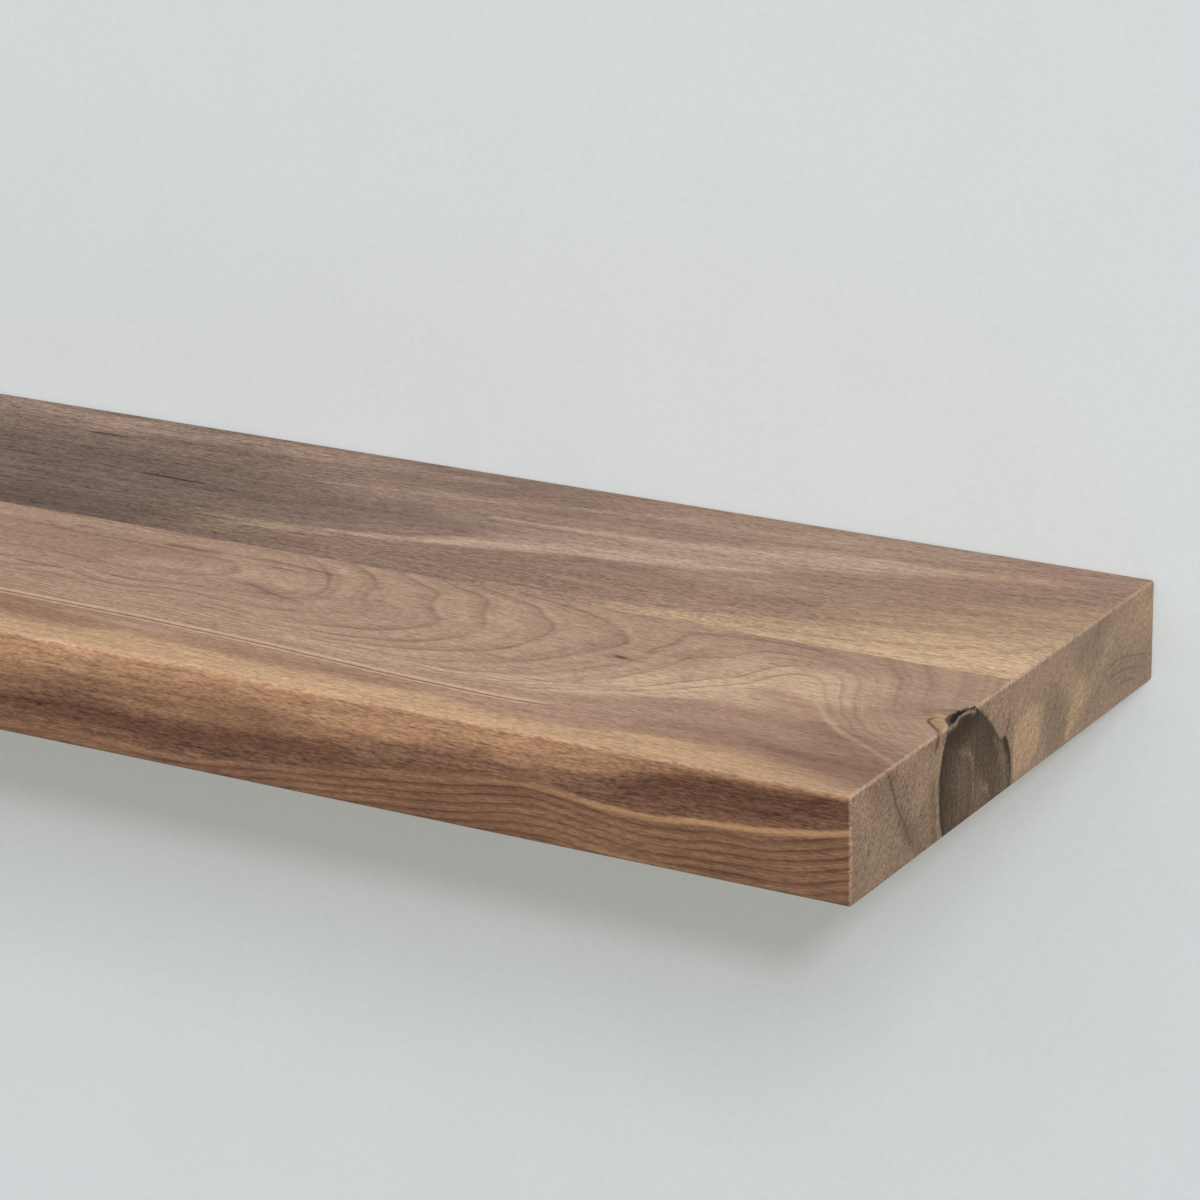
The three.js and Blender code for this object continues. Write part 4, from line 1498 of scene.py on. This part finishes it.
def moulded_nylon():
    """Grey moulded nylon with faint flow lines."""
    p = Paint("moulded_nylon")
    flow = p.noise(p.place((0.3, 0.05, 0.3)), 1.0, 3, 0.6, 0.6)
    relief = p.bump(p.noise(p.place(), 2.0, 2, 0.5), 0.15, 0.08)
    return p.finish_cloudy(flow, ((168, 168, 162), (188, 187, 180)), (0.58, 0.68), Normal=relief)


def turned_brass():
    """Brass with turning marks and a slight tarnish."""
    p = Paint("turned_brass")
    tarnish = p.noise(p.place(), 0.3, 4, 0.6)
    relief = p.bump(p.noise(p.place((0.4, 0.4, 8)), 1.0, 2, 0.5), 0.12, 0.04)
    tones = ((196, 162, 96), (172, 134, 72))
    return p.finish_cloudy(tarnish, tones, (0.26, 0.42), Metallic=1.0, Normal=relief)


def black_oxide():
    """Oiled black oxide on steel."""
    p = Paint("black_oxide")
    cloud = p.noise(p.place(), 0.4, 4, 0.6)
    relief = p.bump(p.noise(p.place(), 3.0, 2, 0.5), 0.12, 0.04)
    return p.finish_cloudy(cloud, ((56, 56, 58), (74, 73, 74)), (0.34, 0.5), Metallic=0.8, Normal=relief)


def places_along(first, last, step):
    return list(np.linspace(first, last, max(2, round((last - first) / step) + 1)))


def thread(pitch, depth, first, last):
    """A ripple for lathe() that cuts a thread between two places, run in and out over half a turn."""

    def ripple(radius, place, angle):
        turn = (place / pitch - angle / math.tau) % 1
        valley = min(1, abs(turn * 2 - 1) * THREAD_STEEPNESS)
        ends = min(1, max(0, place - first) * 2 / pitch, max(0, last - place) * 2 / pitch)
        return -depth * valley * ends * min(1, radius / 2)

    return ripple


def fit(obj, node, body, material):
    """Puts a piece in its node's place, on its body and in its material."""
    obj.data.set_sharp_from_angle(angle=math.radians(SHARP_TURN))
    obj.data.materials.clear()
    obj.data.materials.append(material)
    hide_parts(node)
    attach(obj, body)


def rod_bar(node):
    """A drawn bar: chamfered tip, rippled weld bead at the plate and a spigot through it."""
    low, high = node_box(node)
    face = node_box("wall_plate")[0][1]
    bar_end = face - WELD_LEG - ROD_END_ROOM
    profile = [(0, low[1]), (ROD_RADIUS - ROD_CHAMFER, low[1]), (ROD_RADIUS, low[1] + ROD_CHAMFER)]
    profile += [(ROD_RADIUS, place) for place in places_along(low[1] + ROD_STEP, bar_end, ROD_STEP)]
    for angle in quarter_turn():
        profile.append((
            ROD_RADIUS + WELD_LEG * (1 - math.cos(angle)),
            face - WELD_LEG * (1 - math.sin(angle)),
        ))
    profile += [(SPIGOT_RADIUS, face), (SPIGOT_RADIUS, high[1]), (0, high[1])]

    def bead(radius, place, angle):
        on_bead = max(0, min(1, (radius - ROD_RADIUS) * 2, (face - place) * 4))
        return WELD_RIPPLE * on_bead * math.sin(angle * WELD_RIPPLES)

    return along_shelf(lathe(f"{node}_bar", profile, ROD_SIDES, ripple=bead), node)


def screw_body(node):
    """A countersunk wood screw with a cross recess."""
    low, high = node_box(node)
    head = low[1]
    neck = head + SCREW_HEAD_RIM + SCREW_HEAD_RADIUS - SCREW_CREST
    point = high[1] - SCREW_POINT
    step = SCREW_PITCH / THREAD_STEPS
    profile = [
        (0, head),
        (SCREW_HEAD_RADIUS - SCREW_BEVEL, head),
        (SCREW_HEAD_RADIUS, head + SCREW_BEVEL),
        (SCREW_HEAD_RADIUS, head + SCREW_HEAD_RIM),
        (SCREW_CREST, neck),
    ]
    profile += [(SCREW_CREST, place) for place in places_along(neck + SCREW_NECK, point, step)]
    for place in places_along(point, high[1], step)[1:-1]:
        profile.append((SCREW_CREST * ((high[1] - place) / SCREW_POINT) ** SCREW_POINT_CURVE, place))
    profile.append((0, high[1]))
    ripple = thread(SCREW_PITCH, SCREW_CREST - SCREW_CORE, neck + SCREW_NECK, high[1])
    obj = lathe(f"{node}_body", profile, SCREW_SIDES, ripple=ripple)
    cut(obj, crossed_bars(CROSS_ARM, CROSS_HALF_SLOT, head - OVERRUN, head + CROSS_DEPTH))
    return along_shelf(obj, node)


def plug_body(node):
    """A wall plug: a collar, barbs, and slits that let it spread."""
    low, high = node_box(node)
    start, end = low[1], high[1]
    first = start + PLUG_COLLAR
    last = end - PLUG_NOSE
    pitch = (last - first) / BARB_COUNT
    waist = PLUG_RADIUS - BARB_DEPTH
    profile = [(PLUG_RADIUS - PLUG_BEVEL, start), (PLUG_RADIUS, start + PLUG_BEVEL), (PLUG_RADIUS, first)]
    for i in range(BARB_COUNT):
        profile.append((waist, first + i * pitch + BARB_BACK))
        profile.append((PLUG_RADIUS, first + (i + 1) * pitch - BARB_FLAT))
    profile += [
        (waist, last + BARB_BACK),
        (waist, end - PLUG_TIP),
        (waist - PLUG_TIP_TAPER, end),
        (PLUG_BORE, end),
        (PLUG_BORE, start + PLUG_MOUTH),
        (PLUG_BORE + PLUG_MOUTH, start),
    ]
    obj = lathe(f"{node}_sleeve", profile, SLEEVE_SIDES, closed=True)
    cut(obj, crossed_bars(PLUG_RADIUS + OVERRUN, PLUG_HALF_SLIT, first, last))
    return along_shelf(obj, node)


def insert_body(node):
    """A brass insert with a coarse thread outside and a fine one inside."""
    low, high = node_box(node)
    foot, top = low[2], high[2]
    outer = thread(INSERT_PITCH, INSERT_DEPTH, foot, top)
    inner = thread(LOCK_PITCH, -INSERT_INNER_DEPTH, foot, top)
    steps = places_along(foot + INSERT_BEVEL, top - INSERT_BEVEL, LOCK_PITCH / INSERT_THREAD_STEPS)
    profile = [(INSERT_RADIUS - INSERT_BEVEL, foot)]
    profile += [(INSERT_RADIUS, place) for place in steps]
    profile += [(INSERT_RADIUS - INSERT_BEVEL, top), (INSERT_BORE + INSERT_BEVEL, top)]
    profile += [(INSERT_BORE, place) for place in steps[::-1]]
    profile += [(INSERT_BORE + INSERT_BEVEL, foot)]

    def ripple(radius, place, angle):
        side = outer if radius > (INSERT_RADIUS + INSERT_BORE) / 2 else inner
        return side(radius, place, angle)

    obj = lathe(f"{node}_sleeve", profile, SLEEVE_SIDES, closed=True, ripple=ripple)
    return upright_in_board(obj, node)


def lock_body(node):
    """A set screw with a hexagon socket in its foot and a cup point."""
    low, high = node_box(node)
    foot, top = low[2], high[2]
    shoulder = top - LOCK_POINT
    cup = LOCK_RADIUS - LOCK_POINT
    profile = [(0, foot), (LOCK_RADIUS - LOCK_DEPTH, foot)]
    steps = places_along(foot + LOCK_BEVEL, shoulder, LOCK_PITCH / THREAD_STEPS)
    profile += [(LOCK_RADIUS, place) for place in steps]
    profile += [(cup + CUP_RIM[0], top), (cup - CUP_RIM[1], top), (0, top - CUP_DEPTH)]
    ripple = thread(LOCK_PITCH, LOCK_DEPTH, foot, shoulder)
    obj = lathe(f"{node}_body", profile, SCREW_SIDES, ripple=ripple)
    socket = (
        (0, foot - OVERRUN),
        (SOCKET_RADIUS, foot - OVERRUN),
        (SOCKET_RADIUS, foot + SOCKET_DEPTH),
        (0, foot + SOCKET_DEPTH + SOCKET_POINT),
    )
    cut(obj, [lathe("socket", socket, SOCKET_SIDES)])
    return upright_in_board(obj, node)


def add_plate():
    """The wall plate keeps its own mesh, with its edges softened under the powder coat."""
    plate = bpy.data.objects["wall_plate"]
    bevel = plate.modifiers.new("softened", "BEVEL")
    bevel.width = PLATE_SOFTENING * MM
    bevel.segments = 2
    bevel.limit_method = "ANGLE"
    bevel.angle_limit = math.radians(SHARP_TURN)
    plate.data.materials.clear()
    plate.data.materials.append(powder_coat())


def add_hardware():
    """Every other piece of the bracket and of the locks, by the start of its node's name."""
    add_plate()
    oxide = black_oxide()
    for start, build, body, material, slot in (
        ("support_rod", rod_bar, "bracket", drawn_steel(), "bright_steel"),
        ("wall_screw", screw_body, "bracket", zinc_plate(), "zinc"),
        ("wall_plug", plug_body, "bracket", moulded_nylon(), "nylon"),
        ("lock_insert", insert_body, "board", turned_brass(), "brass"),
        ("lock_screw_left", lock_body, "lock_left", oxide, "black_oxide"),
        ("lock_screw_right", lock_body, "lock_right", oxide, "black_oxide"),
    ):
        for node in nodes_named(start):
            fit(build(node), node, body, material)


def aim(obj, place, way):
    """Puts a lamp or camera at a place in millimetres, looking along a way."""
    obj.location = Vector(place) * MM
    obj.rotation_mode = "QUATERNION"
    obj.rotation_quaternion = Vector(way).to_track_quat("-Z", "Y")


def add_camera():
    data = bpy.data.cameras.new("camera")
    data.sensor_width = SENSOR
    data.lens = CAMERA_LENS
    data.clip_start = 0.01
    data.clip_end = 100
    camera = bpy.data.objects.new("camera", data)
    bpy.context.scene.collection.objects.link(camera)
    azimuth, elevation, roll = map(math.radians, (CAMERA_AZIMUTH, CAMERA_ELEVATION, CAMERA_ROLL))
    forward = Vector((
        -math.sin(azimuth) * math.cos(elevation),
        math.cos(azimuth) * math.cos(elevation),
        -math.sin(elevation),
    ))
    level_right = Vector((math.cos(azimuth), math.sin(azimuth), 0))
    level_up = level_right.cross(forward)
    right = level_right * math.cos(roll) + level_up * math.sin(roll)
    up = right.cross(forward)
    turn = Matrix((right, up, -forward)).transposed().to_4x4()
    camera.matrix_world = Matrix.Translation(Vector(CAMERA_PLACE) * MM) @ turn
    bpy.context.scene.camera = camera


def add_lamp(name, level, angle, light_from):
    data = bpy.data.lights.new(name, "SUN")
    data.energy = level * math.pi
    data.angle = math.radians(angle)
    lamp = bpy.data.objects.new(name, data)
    bpy.context.scene.collection.objects.link(lamp)
    aim(lamp, (0, 0, 0), -Vector(light_from))


def seen_rays(p):
    """1 for the rays that show a thing, straight or in a gloss, and 0 for those that only carry light."""
    rays = p.add("ShaderNodeLightPath", {}, "Is Camera Ray").node
    seen = p.math("MAXIMUM", rays.outputs["Is Camera Ray"], rays.outputs["Is Glossy Ray"])
    return p.math("MAXIMUM", seen, rays.outputs["Is Transmission Ray"])


def add_room():
    """A pale room, brightest overhead, that shows as one plain tone."""
    world = bpy.data.worlds.new("room")
    p = Nodes(world)
    way = p.add("ShaderNodeTexCoord", {}, "Generated")
    rise = p.add("ShaderNodeSeparateXYZ", {0: way}, 2)
    over = p.times(p.math("MAXIMUM", rise, 0.0), OVERHEAD_LEVEL - LEVEL_AROUND)
    under = p.times(p.math("MAXIMUM", p.times(rise, -1.0), 0.0), LEVEL_BELOW - LEVEL_AROUND)
    level = p.math("ADD", p.math("ADD", over, under), LEVEL_AROUND)
    background = p.tree.nodes["Background"]
    p.set(background.inputs["Color"], (1, 1, 1))
    p.set(background.inputs["Strength"], p.mix_numbers(seen_rays(p), level, BACKGROUND_LEVEL))
    bpy.context.scene.world = world


def shown_alone(p):
    """Lets every ray through a stage's sheet but those that show it from the room's side."""
    back = p.add("ShaderNodeNewGeometry", {}, "Backfacing")
    shown = p.times(seen_rays(p), p.math("SUBTRACT", 1.0, back))
    clear = p.add("ShaderNodeBsdfTransparent", {})
    surface = p.add("ShaderNodeMixShader", {0: shown, 1: clear, 2: p.shader.outputs[0]})
    p.tree.links.new(surface, p.tree.nodes["Material Output"].inputs["Surface"])
    p.material.cycles.emission_sampling = "NONE"
    return p.material


def plaster():
    """Matt painted plaster with a faint mottle, and an even painted glow that stands in for room light and
    for the warm bounce from the wood in the shadow.
    """
    p = Paint("plaster")
    place = p.place()
    grain = p.noise(place, 0.35, 4, 0.6)
    wave = p.noise(place, 0.02, 2, 0.5)
    mottle = p.math("ADD", p.ramp(grain, 0.2, 0.8, 0.98, 1.02), p.ramp(wave, 0.3, 0.7, -0.006, 0.006))
    tone = p.shaded(srgb(*WALL_TONE), mottle)
    p.finish(Base_Color=tone, Roughness=0.9, Specular_IOR_Level=0.1, Normal=p.bump(grain, 0.25, 0.3),
             Emission_Color=p.shaded(WALL_GLOW, mottle), Emission_Strength=1.0)
    return shown_alone(p)


def floor_paint():
    p = Paint("floor_paint")
    grain = p.noise(p.place(), 0.08, 3, 0.5)
    p.finish(Base_Color=p.shaded(srgb(*FLOOR_TONE), p.ramp(grain, 0.2, 0.8, 0.99, 1.01)), Roughness=0.8)
    return shown_alone(p)


def upright(left, right, foot, head):
    """The corners of an upright rectangle in the wall's plane, from its lower left corner round."""
    return [(left, WALL_GAP, foot), (right, WALL_GAP, foot), (right, WALL_GAP, head), (left, WALL_GAP, head)]


def add_stage():
    """The wall is open where the plate covers it, so that the plate's back is lit when seen from behind."""
    half = WALL_SIZE / 2
    drop = -FLOOR_DROP
    low, high = node_box("wall_plate")
    hidden = upright(low[0] + PLATE_LAP, high[0] - PLATE_LAP, low[2] + PLATE_LAP, high[2] - PLATE_LAP)
    wall_points = upright(-half, half, drop, half) + hidden
    around = [(i, (i + 1) % 4, (i + 1) % 4 + 4, i + 4) for i in range(4)]
    wall = mesh_object("wall", np.array(wall_points) * MM, around, smooth=False)
    wall.data.materials.append(plaster())
    floor_points = [(-half, -half, drop), (half, -half, drop), (half, half, drop), (-half, half, drop)]
    floor = mesh_object("floor", np.array(floor_points) * MM, [(0, 1, 2, 3)], smooth=False)
    floor.data.materials.append(floor_paint())


def nodes_named(start):
    return sorted(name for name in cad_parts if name.startswith(start))


def add_board():
    bores = nodes_named("support_rod")
    inserts = nodes_named("lock_insert")
    front = stave(
        "front_stave_wood", "front_stave", FRONT_STEPS_ALONG, FRONT_STEPS_ACROSS, False,
        [bore_cutter(rod) for rod in bores], draw_front_figure, chipped,
    )
    rear = stave(
        "rear_stave_wood", "rear_stave", REAR_STEPS_ALONG, REAR_STEPS_ACROSS, True,
        [groove_cutter(), *map(bore_cutter, bores), *map(insert_cutter, inserts)], draw_rear_figure,
    )
    front.data.materials.append(walnut("walnut_front", 1, "bark", True))
    rear.data.materials.append(walnut("walnut_rear", 2, "gum", False))


scene = bpy.context.scene
scene.view_settings.view_transform = "Standard"
add_camera()
add_room()
add_lamp("soft_lamp", SOFT_LAMP_LEVEL, SOFT_LAMP_ANGLE, SOFT_LIGHT_FROM)
add_lamp("sharp_lamp", SHARP_LAMP_LEVEL, SHARP_LAMP_ANGLE, LIGHT_FROM)
add_stage()
add_board()
add_hardware()
